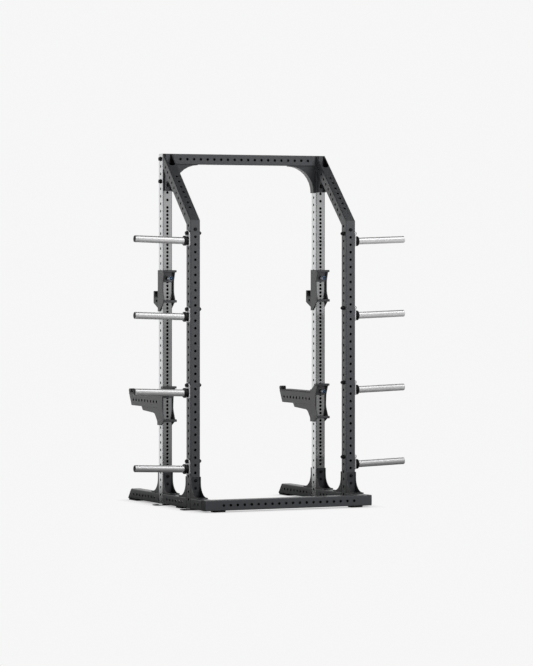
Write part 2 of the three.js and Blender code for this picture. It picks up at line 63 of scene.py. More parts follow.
# ---- places and sizes that the frame gives ----
cross_low, cross_high = box_mm("rear_crossmember")
bar_low = box_mm("top_crossbar")[0]
upright_low, upright_high = box_mm("front_upright_right")
rear_low, rear_high = box_mm("rear_upright_right")

TUBE = cross_high.z - cross_low.z
HALF = TUBE / 2
GAP = 0.3  # between touching CAD solids
UPRIGHT_X = upright_low.x + HALF
FRONT_Y = middle(upright_low.y, upright_high.y)
REAR_Y = middle(rear_low.y, rear_high.y)
CROSS_Y = middle(cross_low.y, cross_high.y)
TOP = upright_high.z
BEND_Z = rear_high.z + GAP
PAD = cross_low.z
RAIL_TOP = cross_high.z
CENTRE_Z = middle(PAD, RAIL_TOP)
JCUP_Z = middle_height("jcup_pin_right")
SPOTTER_Z = middle_height("spotter_pin_right")
PEG_COUNT = 4
SIDES = (("left", -1), ("right", 1))

# ---- sizes of the looks ----
SEAT = 0.05  # between a small piece and what it stands on
WALL = 3  # of the tubes
SHEET = 6  # of brackets and carriages
CORNER = 6  # outer corner radius of the tubes
CORNER_STEPS = 4
FLAT = HALF - CORNER  # half the flat part of a tube's face
PITCH = 50
CELL = 25  # a hole's stretch of tube
HOLE = 9  # radius of a tube's hole
BOLT_HOLE = 8.5
RIM = 0.5  # chamfer round a hole
HOLE_SIDES = 16
WASHER_THICK = 2.2
PLATE_THICK = 6  # of the plates under the uprights
TAB_REACH = 50
CHAMFER = 0.9
ARC_STEP = math.radians(12)
SHARP = math.radians(32)  # edges that turn by more are drawn sharp
BEVELLED = math.radians(35)
INSIDE = 1  # material slot of bores and of a tube's inner walls


# ---- placing ----
def axes(first, second, third):
    """The matrix that takes the local a, b, c axes to the given directions."""
    return Matrix((first, second, third)).transposed().to_4x4()


PLAN = axes((1, 0, 0), (0, 1, 0), (0, 0, 1))  # outline seen from above, thickness along z
SIDE = axes((0, 1, 0), (0, 0, 1), (1, 0, 0))  # outline in y and z, thickness along x
FACE = axes((1, 0, 0), (0, 0, 1), (0, 1, 0))  # outline in x and z, thickness along y


def side_frame(sign, y=0.0, z=0.0):
    """x = 0 is the side frame's centre plane and +x is outward."""
    return Matrix.Translation((sign * UPRIGHT_X, y, z)) @ Matrix.Diagonal((sign, 1, 1, 1))


# ---- mesh builders ----
def rounded(corners):
    """An outline from (a, b) or (a, b, radius) corners, each radius an arc."""
    points = []
    count = len(corners)
    for i, corner in enumerate(corners):
        here = Vector(corner[:2])
        radius = corner[2] if len(corner) > 2 else 0
        if radius == 0:
            points.append(here)
            continue
        back = (Vector(corners[i - 1][:2]) - here).normalized()
        ahead = (Vector(corners[(i + 1) % count][:2]) - here).normalized()
        half_angle = back.angle(ahead) / 2
        centre = here + (back + ahead).normalized() * radius / math.sin(half_angle)
        start = here + back * radius / math.tan(half_angle) - centre
        turn = start.angle_signed(here + ahead * radius / math.tan(half_angle) - centre)
        steps = max(2, round(abs(turn) / ARC_STEP))
        for step in range(steps + 1):
            angle = math.atan2(start.y, start.x) - turn * step / steps
            points.append(centre + Vector((math.cos(angle), math.sin(angle))) * radius)
    return points


def circle(radius, sides, a=0.0, b=0.0):
    turns = [2 * math.pi * i / sides for i in range(sides)]
    return [Vector((a + radius * math.cos(t), b + radius * math.sin(t))) for t in turns]


def rectangle(a, b, radius=0.0):
    return rounded([(x, y, radius) for x, y in ((a[0], b[0]), (a[1], b[0]), (a[1], b[1]), (a[0], b[1]))])


def lifted(place, outline, height):
    return [place @ Vector((p.x, p.y, height)) for p in outline]


def doubled_area(points):
    return sum(p.cross(q) for p, q in zip(points, points[1:] + points[:1]))


def inset(points, distance):
    """The outline moved inward, for one that runs counterclockwise."""
    moved = []
    for before, here, after in zip(points[-1:] + points[:-1], points, points[1:] + points[:1]):
        first = (here - before).normalized()
        second = (after - here).normalized()
        normal = Vector((-first.y - second.y, first.x + second.x))
        moved.append(here + normal * distance / max(0.3, 1 + first.dot(second)))
    return moved


def new_ring(bm, points):
    return [bm.verts.new(point) for point in points]


def join_rings(bm, low, high, surface=0):
    """Quads between two rings of equal counts."""
    for i in range(len(low)):
        j = (i + 1) % len(low)
        quad = bm.faces.new((low[i], low[j], high[j], high[i]))
        quad.material_index = surface


def loft(bm, rings, capped=True):
    """A skin over rings of equal counts. The end rings become faces, or are joined to each other."""
    rows = [new_ring(bm, ring) for ring in rings]
    for low, high in zip(rows, rows[1:]):
        join_rings(bm, low, high)
    if capped:
        bm.faces.new(rows[0])
        bm.faces.new(rows[-1])
    else:
        join_rings(bm, rows[-1], rows[0])


def prism(bm, place, outline, low, high):
    loft(bm, [lifted(place, outline, height) for height in (low, high)])


def lathe(bm, place, profile, sides=48, capped=True):
    """A round piece about the local c axis from (radius, height) points."""
    loft(bm, [lifted(place, circle(radius, sides), height) for radius, height in profile], capped)


def plate(bm, place, outline, low, high, holes=(), chamfer=CHAMFER):
    """A flat piece from c = low to c = high with chamfered edges and round (a, b, radius) holes."""
    points = list(outline) if doubled_area(outline) > 0 else list(outline)[::-1]
    loops = [(points, inset(points, chamfer))]
    for a, b, radius in holes:
        wide = circle(radius + chamfer, HOLE_SIDES, a, b)[::-1]
        loops.append((circle(radius, HOLE_SIDES, a, b)[::-1], wide))
    levels = ((low, 1), (low + chamfer, 0), (high - chamfer, 0), (high, 1))
    grid = []
    for height, narrow in levels:
        grid.append([new_ring(bm, lifted(place, loop[narrow], height)) for loop in loops])
    for below, above in zip(grid, grid[1:]):
        for loop, (low_row, high_row) in enumerate(zip(below, above)):
            join_rings(bm, low_row, high_row, INSIDE if loop else 0)
    caps = tessellate_polygon([[p.to_3d() for p in loop[1]] for loop in loops])
    for rows in (grid[0], grid[-1]):
        flat = [vert for row in rows for vert in row]
        for triangle in caps:
            bm.faces.new([flat[i] for i in triangle])


def twin_plates(bm, place, outline, low, high, holes=(), chamfer=CHAMFER):
    """Two equal plates, as far from the middle on one side as on the other."""
    plate(bm, place, outline, low, high, holes, chamfer)
    plate(bm, place, outline, -high, -low, holes, chamfer)


def tube_ring(half):
    """Points round a rounded square. Each face gives the end of its flat, then the next corner's steps."""
    corner = half - FLAT
    ring = []
    for face in range(4):
        turn = Matrix.Rotation(face * math.pi / 2, 2)
        ring.append(turn @ Vector((half, -FLAT)))
        for step in range(CORNER_STEPS):
            angle = step * math.pi / 2 / CORNER_STEPS
            ring.append(turn @ (Vector((FLAT, FLAT)) + corner * Vector((math.cos(angle), math.sin(angle)))))
    return ring


def perforated_tube(bm, place, start, end, holes, anchor):
    """A square tube along c. holes maps a face (0 is +a, 1 is +b, 2 is -a, 3 is -b) to its hole centres,
    which lie a multiple of CELL from the anchor."""
    first = math.ceil((start + 1 - anchor) / CELL - 0.5)
    last = math.floor((end - 1 - anchor) / CELL - 0.5)
    levels = [start] + [anchor + (k + 0.5) * CELL for k in range(first, last + 1)] + [end]
    outer_ring = tube_ring(HALF)
    inner_ring = tube_ring(HALF - WALL)
    per_face = CORNER_STEPS + 1
    outer = [new_ring(bm, lifted(place, outer_ring, z)) for z in levels]
    inner = [new_ring(bm, lifted(place, inner_ring, z)) for z in levels]
    count = len(outer_ring)

    def hole_cell(face, i):
        turn = Matrix.Rotation(face * math.pi / 2, 3, "Z")
        centre = (levels[i] + levels[i + 1]) / 2

        def hole_ring(size, depth):
            points = circle(size, HOLE_SIDES)
            return new_ring(bm, [place @ (turn @ Vector((depth, p.x, centre + p.y))) for p in points])

        rings = [
            hole_ring(HOLE + RIM, HALF),
            hole_ring(HOLE, HALF - RIM),
            hole_ring(HOLE, HALF - WALL),
        ]
        for ring_a, ring_b, surface in zip(rings, rings[1:], (0, INSIDE)):
            join_rings(bm, ring_a, ring_b, surface)
        eighth = HOLE_SIDES // 8
        j = face * per_face
        for rows, ring in ((outer, rings[0]), (inner, rings[-1])):
            corners = [rows[i][j + 1], rows[i + 1][j + 1], rows[i + 1][j], rows[i][j]]
            for quarter in range(4):
                begin = (2 * quarter - 1) * eighth
                arc = [ring[(begin + m) % HOLE_SIDES] for m in range(2 * eighth + 1)]
                wall = bm.faces.new([corners[quarter], corners[(quarter + 1) % 4]] + arc[::-1])
                wall.material_index = INSIDE if rows is inner else 0

    for i in range(len(levels) - 1):
        centre = (levels[i] + levels[i + 1]) / 2
        whole = abs(levels[i + 1] - levels[i] - CELL) < 0.1
        for j in range(count):
            face = j // per_face
            on_flat = j % per_face == 0
            if on_flat and whole and any(abs(hole - centre) < 1 for hole in holes.get(face, ())):
                hole_cell(face, i)
                continue
            k = (j + 1) % count
            bm.faces.new((outer[i][j], outer[i][k], outer[i + 1][k], outer[i + 1][j]))
            wall = bm.faces.new((inner[i][j], inner[i + 1][j], inner[i + 1][k], inner[i][k]))
            wall.material_index = INSIDE
    for i in (0, -1):
        join_rings(bm, inner[i], outer[i])


def trim(bm, point, normal):
    """Cuts a tube off on the side that the normal points to, and closes the ring that the cut leaves."""
    everything = bm.verts[:] + bm.edges[:] + bm.faces[:]
    cut = bmesh.ops.bisect_plane(bm, geom=everything, plane_co=point, plane_no=normal, clear_outer=True)
    edges = [item for item in cut["geom_cut"] if isinstance(item, bmesh.types.BMEdge)]
    bmesh.ops.bridge_loops(bm, edges=edges)


def hexagons(bm, place, profile):
    loft(bm, [lifted(place, circle(radius, 6), height) for radius, height in profile])


def along(point, direction):
    """A frame at a point whose c axis is the given direction."""
    return Matrix.Translation(point) @ Vector(direction).to_track_quat("Z", "Y").to_matrix().to_4x4()


def bolt(bm, point, direction, size):
    """A washer and a hexagon head with a turned crown, standing on the point. size is the width across the
    flats, the head's height and the washer's radius."""
    across, head, washer = size
    place = along(point, direction)
    rim = washer - 0.6
    lathe(bm, place, [(rim, 0), (washer, 0.6), (washer, WASHER_THICK - 0.6), (rim, WASHER_THICK)], 32)
    corner = across / math.sqrt(3)
    low = WASHER_THICK + SEAT
    high = low + head
    profile = [(0.97, low), (1, low + 0.6), (1, high - 1.6), (0.86, high), (0.6, high + 0.3)]
    hexagons(bm, place, [(corner * part, height) for part, height in profile])


def nut(bm, point, direction, size):
    """A washer, a nut and the threaded end that stands out of it."""
    bolt(bm, point, direction, size)
    start = WASHER_THICK + size[1] + 0.4
    lathe(bm, along(point, direction), [(6.5, start), (6.5, start + 4), (5.5, start + 5.2)], 20)


# ---- materials ----
def set_inputs(tree, node, inputs):
    """Links each input that is given another node's output, and sets the others to their values."""
    for name, value in inputs.items():
        if isinstance(value, bpy.types.NodeSocket):
            tree.links.new(value, node.inputs[name])
        else:
            node.inputs[name].default_value = value


def add_node(tree, kind, inputs):
    node = tree.nodes.new(f"ShaderNode{kind}")
    set_inputs(tree, node, inputs)
    return node


def map_range(tree, source, before, after, interpolation="LINEAR"):
    """Takes the range before to the range after."""
    ends = {"From Min": before[0], "From Max": before[1], "To Min": after[0], "To Max": after[1]}
    node = add_node(tree, "MapRange", {"Value": source, **ends})
    node.interpolation_type = interpolation
    return node.outputs["Result"]


CLOUD = 2.5  # scale per metre of the slow drift between the two tones
TONE_SPAN = (0.7, 1.3)  # of the two noises' sum
GRAIN_SPAN = (0.3, 0.7)


def make_material(name, dark, light, grain, stretch, rough, bump, metallic=0.0, specular=0.5):
    """A surface whose colour drifts between two tones. grain is the fine noise's scale per metre, stretch its
    scale along x, y and z, rough the roughness range and bump the height of the grain in metres."""
    material = bpy.data.materials.new(name)
    material.use_nodes = True
    tree = material.node_tree
    place = add_node(tree, "TexCoord", {})
    mapping = add_node(tree, "Mapping", {"Vector": place.outputs["Object"], "Scale": stretch})
    vector = mapping.outputs["Vector"]
    fine = add_node(tree, "TexNoise", {"Vector": vector, "Scale": grain, "Detail": 4}).outputs["Fac"]
    broad = add_node(tree, "TexNoise", {"Vector": vector, "Scale": CLOUD, "Detail": 3}).outputs["Fac"]
    blend = add_node(tree, "Math", {0: fine, 1: broad})
    factor = map_range(tree, blend.outputs["Value"], TONE_SPAN, (0, 1))
    tone = tree.nodes.new("ShaderNodeMix")
    tone.data_type = "RGBA"
    set_inputs(tree, tone, {"Factor": factor, "A": (*dark, 1), "B": (*light, 1)})
    height = add_node(tree, "Bump", {"Height": fine, "Strength": 1.0, "Distance": bump})
    set_inputs(tree, tree.nodes["Principled BSDF"], {
        "Base Color": tone.outputs["Result"],
        "Roughness": map_range(tree, fine, GRAIN_SPAN, rough),
        "Normal": height.outputs["Normal"],
        "Metallic": metallic,
        "Specular IOR Level": specular,
    })
    return material


EVEN = (1, 1, 1)
CHARCOAL = make_material(
    "charcoal powder coat",
    (0.084, 0.088, 0.096), (0.104, 0.108, 0.117), 700, EVEN, (0.28, 0.4), 0.00004
)
# The charcoal powder coat made darker: painted shade on the foot brackets and the top gussets.
PAINTED_SHADE_CHARCOAL = make_material(
    "bracket coat with painted shade",
    (0.046, 0.048, 0.054), (0.062, 0.065, 0.071), 700, EVEN, (0.3, 0.42), 0.00004
)
BLACK_PAINT = make_material(
    "carriage powder coat",
    (0.09, 0.091, 0.097), (0.11, 0.112, 0.118), 700, EVEN, (0.34, 0.48), 0.00006
)
BLACK_STEEL = make_material(
    "black oxide",
    (0.006, 0.006, 0.007), (0.014, 0.014, 0.016), 500, EVEN, (0.4, 0.58), 0.00004, 0.0, 0.3
)
# Near black that stands for the shade in bores and inside tubes: painted shade.
PAINTED_SHADE_INSIDE = make_material(
    "painted shade inside",
    (0.006, 0.006, 0.006), (0.014, 0.013, 0.012), 300, EVEN, (0.6, 0.9), 0.00005
)
STAINLESS = make_material(
    "brushed stainless",
    (0.52, 0.525, 0.535), (0.66, 0.665, 0.67), 900, (0.02, 0.02, 1), (0.17, 0.26), 0.00001, 1.0
)
CHROME = make_material(
    "satin chrome",
    (0.82, 0.82, 0.83), (0.92, 0.92, 0.93), 500, (1, 0.02, 0.02), (0.3, 0.4), 0.00001, 0.55
)
SILVER = make_material(
    "silver coat",
    (0.7, 0.7, 0.72), (0.82, 0.82, 0.84), 600, EVEN, (0.3, 0.45), 0.00005, 0.4
)
PLASTIC = make_material(
    "black plastic",
    (0.012, 0.012, 0.013), (0.024, 0.024, 0.026), 350, EVEN, (0.4, 0.58), 0.00005
)
HOOK_STEEL_COAT = make_material(
    "hook coat",
    (0.02, 0.024, 0.028), (0.034, 0.04, 0.046), 500, EVEN, (0.36, 0.5), 0.00005
)
RUBBER = make_material(
    "rubber",
    (0.01, 0.01, 0.01), (0.022, 0.022, 0.022), 450, EVEN, (0.65, 0.85), 0.00012
)
KNOB_SILVER = make_material(
    "turned aluminium",
    (0.78, 0.79, 0.81), (0.9, 0.91, 0.93), 900, (0.02, 1, 0.02), (0.26, 0.36), 0.00001, 0.5
)
KNOB_BLUE = make_material(
    "blue anodised",
    (0.12, 0.28, 0.55), (0.18, 0.4, 0.7), 900, (0.02, 1, 0.02), (0.3, 0.42), 0.00001, 0.5
)


# ---- finishing ----
def add_object(name, data):
    added = bpy.data.objects.new(name, data)
    bpy.context.scene.collection.objects.link(added)
    return added


def add_mesh(name, bm):
    mesh = bpy.data.meshes.new(name)
    bm.to_mesh(mesh)
    bm.free()
    return add_object(name, mesh)


def finish_piece(name, bm, material, node=None, body="root"):
    """Makes a piece that rides on the body and stands for the CAD node, if one is given."""
    bmesh.ops.scale(bm, vec=(MM, MM, MM), verts=bm.verts)
    bmesh.ops.recalc_face_normals(bm, faces=bm.faces)
    piece = add_mesh(name, bm)
    mesh = piece.data
    for polygon in mesh.polygons:
        polygon.use_smooth = True
    mesh.set_sharp_from_angle(angle=SHARP)
    mesh.materials.append(material)
    # Bores and inner walls get the near-black painted shade.
    if any(polygon.material_index == INSIDE for polygon in mesh.polygons):
        mesh.materials.append(PAINTED_SHADE_INSIDE)
    weighted = piece.modifiers.new("weighted normals", "WEIGHTED_NORMAL")
    weighted.keep_sharp = True
    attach(piece, body)
    if node:
        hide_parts(node)


def boolean(solid, tool, operation):
    """The bmesh that is left when the tool is cut from the solid or intersected with it."""
    pair = []
    for bm in (solid, tool):
        bmesh.ops.recalc_face_normals(bm, faces=bm.faces)
        pair.append(add_mesh("working", bm))
    change = pair[0].modifiers.new("boolean", "BOOLEAN")
    change.operation = operation
    change.solver = "EXACT"
    change.object = pair[1]
    evaluated = pair[0].evaluated_get(bpy.context.evaluated_depsgraph_get())
    result = bmesh.new()
    result.from_mesh(evaluated.to_mesh())
    evaluated.to_mesh_clear()
    for working in pair:
        mesh = working.data
        bpy.data.objects.remove(working)
        bpy.data.meshes.remove(mesh)
    return result


def soften(bm, width):
    """Bevels the edges that turn sharply."""
    bmesh.ops.remove_doubles(bm, verts=bm.verts, dist=0.02)
    bmesh.ops.dissolve_limit(bm, angle_limit=math.radians(1), verts=bm.verts, edges=bm.edges)
    edges = [edge for edge in bm.edges if edge.is_manifold and edge.calc_face_angle(0) > BEVELLED]
    bmesh.ops.bevel(bm, geom=edges, offset=width, segments=1, affect="EDGES", clamp_overlap=True)


# ---- frame tubes ----
FRONT_FACE_REAR = FRONT_Y + HALF
REAR_FACE_REAR = REAR_Y + HALF
BRACE_RISE = TOP - BEND_Z
BRACE_RUN = REAR_FACE_REAR - FRONT_FACE_REAR
BRACE_ANGLE = math.atan2(BRACE_RISE, BRACE_RUN)
BRACE_LENGTH = math.hypot(BRACE_RISE, BRACE_RUN)
UP_BRACE = Vector((0, -math.cos(BRACE_ANGLE), math.sin(BRACE_ANGLE)))
OFF_BRACE = Vector((0, math.sin(BRACE_ANGLE), math.cos(BRACE_ANGLE)))
MITRE_NORMAL = (UP_BRACE + Vector((0, 0, 1))).normalized()
BEND_POINT = Vector((0, REAR_FACE_REAR, BEND_Z))
ROW_Z = 45  # the rows in the front and rear faces count from here, and the side rows from half a pitch higher
FIRST_ROW = 245
LAST_PIN = 1995
TOP_COVER = 2120  # the slant bracket covers the front upright's rear face from here up
FOOT_BOLTS = (195, 145)
OUTER_BOLTS = (2320, 2170)
BRACE_BOLT_Z = 1845
SLANT_BOLT_Z = 2145
TAB_HOLE_INSET = 22
WELD = 4.5
BRACE_SIDE_ROW = 97.5  # along the brace from its top corner
BRACE_SIDE_COUNT = 10
BRACE_TOP_ROW = 222.5
BRACE_TOP_COUNT = 7
NOTCH_HALF_WIDTH = 25
NOTCH_LENGTH = 116
END_STRIP = 15  # half width of the painted strip that closes the notch
RAIL_ROW = 110  # from the upright's centre to the front rail's first hole
RAIL_COUNT = 8
INNER_ROW = 105  # from an upright's centre back to the first hole of the rail behind it
INNER_COUNT = 6
STUB_COUNT = 2
CROSS_ROW = 475
TIP_SLANT = 58
CAP = 3  # thickness of the front rail's tip cap
PLUG_DEPTH = 12
PLUG_PLAY = 0.15
ALONG_Y = axes((1, 0, 0), (0, 0, -1), (0, 1, 0))  # for a tube that runs along y


def hole_row(first, last, step=PITCH):
    return [first + step * k for k in range(int((last - first) / step + 1.001))]


def foot_plate(bm, place, y):
    outline = rounded([
        (-HALF, y - HALF, 3),
        (HALF + TAB_REACH, y - HALF, 16),
        (HALF + TAB_REACH, y + HALF, 16),
        (-HALF, y + HALF, 3),
    ])
    plate(bm, place, outline, 0, PLATE_THICK, [(HALF + TAB_REACH - TAB_HOLE_INSET, y, 7)])
    weld = []
    for reach, z in ((-0.5, PLATE_THICK + WELD), (WELD, PLATE_THICK - 0.3), (-0.5, PLATE_THICK - 0.3)):
        weld.append(lifted(place, [p + Vector((0, y)) for p in tube_ring(HALF + reach)], z))
    loft(bm, weld, capped=False)


def tube_plug(bm, place):
    """A plastic plug in a tube's end, flush with it. The local c axis points out of the tube."""
    ring = tube_ring(HALF - WALL - PLUG_PLAY)
    levels = ((1.0, -PLUG_DEPTH), (1.0, -1.6), (0.97, -0.6), (0.9, -0.2))
    loft(bm, [lifted(place, [p * size for p in ring], z) for size, z in levels])


def front_upright(label, sign):
    bm = bmesh.new()
    side_rows = [z for z in hole_row(ROW_Z + CELL, TOP - HALF) if z not in OUTER_BOLTS]
    rear_rows = hole_row(FIRST_ROW, LAST_PIN, CELL) + hole_row(LAST_PIN + PITCH, TOP_COVER)
    holes = {0: side_rows, 1: rear_rows, 2: side_rows, 3: hole_row(FIRST_ROW, TOP - CELL)}
    perforated_tube(bm, side_frame(sign, FRONT_Y), PLATE_THICK - 0.3, TOP, holes, ROW_Z)
    foot_plate(bm, side_frame(sign), FRONT_Y)
    finish_piece(f"upright_front_{label}", bm, STAINLESS, f"front_upright_{label}")


def rear_upright(label, sign):
    bm = bmesh.new()
    side_rows = hole_row(ROW_Z + CELL, BRACE_BOLT_Z + CELL)
    rear_rows = hole_row(FIRST_ROW, BRACE_BOLT_Z - PITCH)
    holes = {0: side_rows, 1: rear_rows, 2: side_rows, 3: hole_row(FIRST_ROW, BRACE_BOLT_Z)}
    perforated_tube(bm, side_frame(sign, REAR_Y), PLATE_THICK - 0.3, BEND_Z + TUBE, holes, ROW_Z)
    trim(bm, BEND_POINT - Vector((0, 0, GAP)), MITRE_NORMAL)
    foot_plate(bm, side_frame(sign), REAR_Y)
    finish_piece(f"upright_rear_{label}", bm, CHARCOAL, f"rear_upright_{label}")


def brace(label, sign):
    """The slanted tube. An open notch in its upper wall gives access to the bolts at its top end."""
    bm = bmesh.new()
    origin = Vector((0, FRONT_FACE_REAR, TOP)) - HALF * OFF_BRACE
    place = side_frame(sign) @ Matrix.Translation(origin) @ axes((1, 0, 0), OFF_BRACE, UP_BRACE)
    side_rows = [-BRACE_SIDE_ROW - PITCH * k for k in range(BRACE_SIDE_COUNT)]
    top_rows = [-BRACE_TOP_ROW - PITCH * k for k in range(BRACE_TOP_COUNT)]
    holes = {0: side_rows, 1: top_rows, 2: side_rows, 3: top_rows}
    perforated_tube(bm, place, -BRACE_LENGTH - TUBE, TUBE, holes, -BRACE_SIDE_ROW)
    trim(bm, Vector((0, FRONT_FACE_REAR + GAP, 0)), Vector((0, -1, 0)))
    trim(bm, BEND_POINT, -MITRE_NORMAL)
    notch = bmesh.new()
    tongue = NOTCH_HALF_WIDTH - 1
    outline = rounded([
        (-NOTCH_HALF_WIDTH, -NOTCH_LENGTH, tongue),
        (NOTCH_HALF_WIDTH, -NOTCH_LENGTH, tongue),
        (NOTCH_HALF_WIDTH, TUBE),
        (-NOTCH_HALF_WIDTH, TUBE),
    ])
    prism(notch, place @ FACE, outline, HALF - WALL - 4, HALF + 4)
    bm = boolean(bm, notch, "DIFFERENCE")
    finish_piece(f"brace_{label}", bm, CHARCOAL, f"slant_brace_{label}")

    # A near-black plate behind the notch: where it shows beside the charcoal strip, its black is painted
    # shade for the notch's shadowed inside.
    bm = bmesh.new()
    inside = HALF - WALL - 0.5
    skin = WALL / math.cos(BRACE_ANGLE)
    face = FRONT_FACE_REAR + GAP + 0.2
    low = TOP - TUBE / math.cos(BRACE_ANGLE) + skin
    high = TOP - skin - SHEET
    outline = rounded([
        (-inside, low, 3),
        (inside, low, 3),
        (inside, high, 3),
        (tongue, high),
        (tongue, TOP - 1),
        (-tongue, TOP - 1),
        (-tongue, high),
        (-inside, high, 3),
    ])
    plate(bm, side_frame(sign) @ FACE, outline, face, face + WALL)
    finish_piece(f"brace_end_shade_plate_{label}", bm, BLACK_STEEL)

    bm = bmesh.new()
    strip = rectangle((-END_STRIP, END_STRIP), (low + WALL, TOP - 1), 1)
    face += WALL + 0.1
    plate(bm, side_frame(sign) @ FACE, strip, face, face + WALL)
    finish_piece(f"brace_end_strip_{label}", bm, CHARCOAL)


def front_rail(label, sign):
    low, high = box_mm(f"front_rail_{label}")
    first = FRONT_Y - RAIL_ROW
    centres = [first - PITCH * k for k in range(RAIL_COUNT)]
    bm = bmesh.new()
    place = side_frame(sign, 0, CENTRE_Z) @ ALONG_Y
    perforated_tube(bm, place, low.y - TUBE, high.y, {0: centres, 2: centres}, first)
    outward = Vector((0, -TUBE, TIP_SLANT)).normalized()
    trim(bm, Vector((0, low.y, PAD)) - CAP * outward, outward)
    finish_piece(f"rail_front_{label}", bm, CHARCOAL, f"front_rail_{label}")

    bm = bmesh.new()
    rings = []
    for half, back in ((HALF, CAP), (HALF, 1.0), (HALF - 1.2, 0.0)):
        back = back * math.hypot(TUBE, TIP_SLANT) / TUBE
        ring = []
        for p in tube_ring(half):
            lean = (p.y + HALF) * TIP_SLANT / TUBE
            ring.append(side_frame(sign, low.y + back + lean, CENTRE_Z) @ Vector((p.x, 0, p.y)))
        rings.append(ring)
    loft(bm, rings)
    finish_piece(f"rail_tip_cap_{label}", bm, PLASTIC)


def short_rail(label, sign, where, first, count):
    node = f"{where}_rail_{label}"
    low, high = box_mm(node)
    centres = [first + PITCH * k for k in range(count)]
    bm = bmesh.new()
    place = side_frame(sign, 0, CENTRE_Z) @ ALONG_Y
    perforated_tube(bm, place, low.y, high.y, {0: centres, 2: centres}, first)
    finish_piece(f"rail_{where}_{label}", bm, CHARCOAL, node)


def cross_tube(node, name, y, z):
    low, high = box_mm(node)
    centres = hole_row(-CROSS_ROW, CROSS_ROW)
    bm = bmesh.new()
    place = Matrix.Translation((0, y, z)) @ SIDE
    perforated_tube(bm, place, low.x, high.x, {0: centres, 2: centres}, -CROSS_ROW)
    finish_piece(name, bm, CHARCOAL, node)


def end_plugs():
    bm = bmesh.new()
    for label, sign in SIDES:
        tube_plug(bm, side_frame(sign, FRONT_Y, TOP))
        outward = Matrix.Translation((sign * cross_high.x, CROSS_Y, CENTRE_Z)) @ SIDE
        tube_plug(bm, outward @ Matrix.Diagonal((1, 1, sign, 1)))
    finish_piece("tube_end_plugs", bm, PLASTIC)


# ---- brackets ----
WEB = 5  # thickness of the side plates
WEB_INSET = 9  # of the slant bracket's webs from the upright's sides
FLARE_TOE = 8
FLARE_RADIUS = 92
ARCH_START = 35
ARCH_WIDTH = 106
ARCH_PEAK = 98
ARCH_RADIUS = 26
GUSSET_RADIUS = 180
GUSSET_HALF_DEPTH = 25
GUSSET_TOE = 4
FLANGE = 8


def slant_bracket(label, sign):
    low, high = box_mm(f"slant_bracket_{label}")
    place = side_frame(sign)
    front = FRONT_FACE_REAR + GAP
    slope = BRACE_RISE / BRACE_RUN
    arch = front + ARCH_START
    web = rounded([
        (front, low.z),
        (arch, low.z),
        (arch, low.z + ARCH_PEAK, ARCH_RADIUS),
        (arch + ARCH_WIDTH, low.z),
        (high.y, low.z),
        (front, high.z),
    ])
    bm = bmesh.new()
    twin_plates(bm, place @ SIDE, web, HALF - WEB_INSET - WEB, HALF - WEB_INSET)
    back_top = high.z - SHEET * slope
    outline = rectangle((-HALF, HALF), (low.z, back_top), 2)
    plate(bm, place @ FACE, outline, front, front + SHEET, [(0, SLANT_BOLT_Z, HOLE)])
    finish_piece(f"bracket_slant_{label}", bm, CHARCOAL, f"slant_bracket_{label}")


def foot_bracket(label, sign, where, face, direction):
    node = f"foot_bracket_{where}_{label}"
    low, high = box_mm(node)
    reach = high.y - low.y
    place = side_frame(sign, face + direction * GAP) @ Matrix.Diagonal((1, direction, 1, 1))
    web = rounded([
        (0, low.z),
        (reach, low.z),
        (reach, low.z + FLARE_TOE, 2),
        (2 * SHEET, low.z + FLARE_TOE, FLARE_RADIUS),
        (2 * SHEET, high.z, 3),
        (0, high.z),
    ])
    bm = bmesh.new()
    twin_plates(bm, place @ SIDE, web, HALF - WEB, HALF)
    inside = HALF - WEB + 0.2
    holes = [(0, z, BOLT_HOLE) for z in FOOT_BOLTS]
    plate(bm, place @ FACE, rectangle((-inside, inside), (low.z, high.z)), 0, SHEET, holes)
    plate(bm, place @ PLAN, rectangle((-inside, inside), (SHEET, reach)), low.z, low.z + WEB)
    finish_piece(f"bracket_foot_{where}_{label}", bm, PAINTED_SHADE_CHARCOAL, node)


def top_gusset(label, sign):
    low, high = box_mm(f"top_gusset_{label}")
    inner = -HALF - GAP - FLANGE
    under = bar_low.z - GAP
    reach = GUSSET_RADIUS + GUSSET_TOE
    corner = rounded([
        (inner + 0.2, under),
        (inner + 0.2, under - reach),
        (inner - GUSSET_TOE, under - reach),
        (inner - GUSSET_TOE, under - GUSSET_TOE, GUSSET_RADIUS - 1),
        (inner - reach, under - GUSSET_TOE),
        (inner - reach, under),
    ])
    place = side_frame(sign, FRONT_Y)
    bm = bmesh.new()
    plate(bm, place @ FACE, corner, -GUSSET_HALF_DEPTH, GUSSET_HALF_DEPTH, chamfer=1.2)
    flange = rectangle((-HALF, HALF), (low.z, high.z), 4)
    plate(bm, place @ SIDE, flange, inner, inner + FLANGE)
    finish_piece(f"gusset_top_{label}", bm, PAINTED_SHADE_CHARCOAL, f"top_gusset_{label}")


# ---- weight pegs ----
PEG_PLATE = 8
PEG_PLATE_HALF_WIDTH = 31
PEG_PLATE_UP = 70
PEG_PLATE_DOWN = 35
PEG_BOLT_UP = 50
PEG_HUB_RADIUS = 26
PEG_HUB_REACH = 22
PEG_FLANGE_RADIUS = 33
PEG_FLANGE_THICK = 12
PEG_RADIUS = 23
PEG_TILT = math.radians(2)


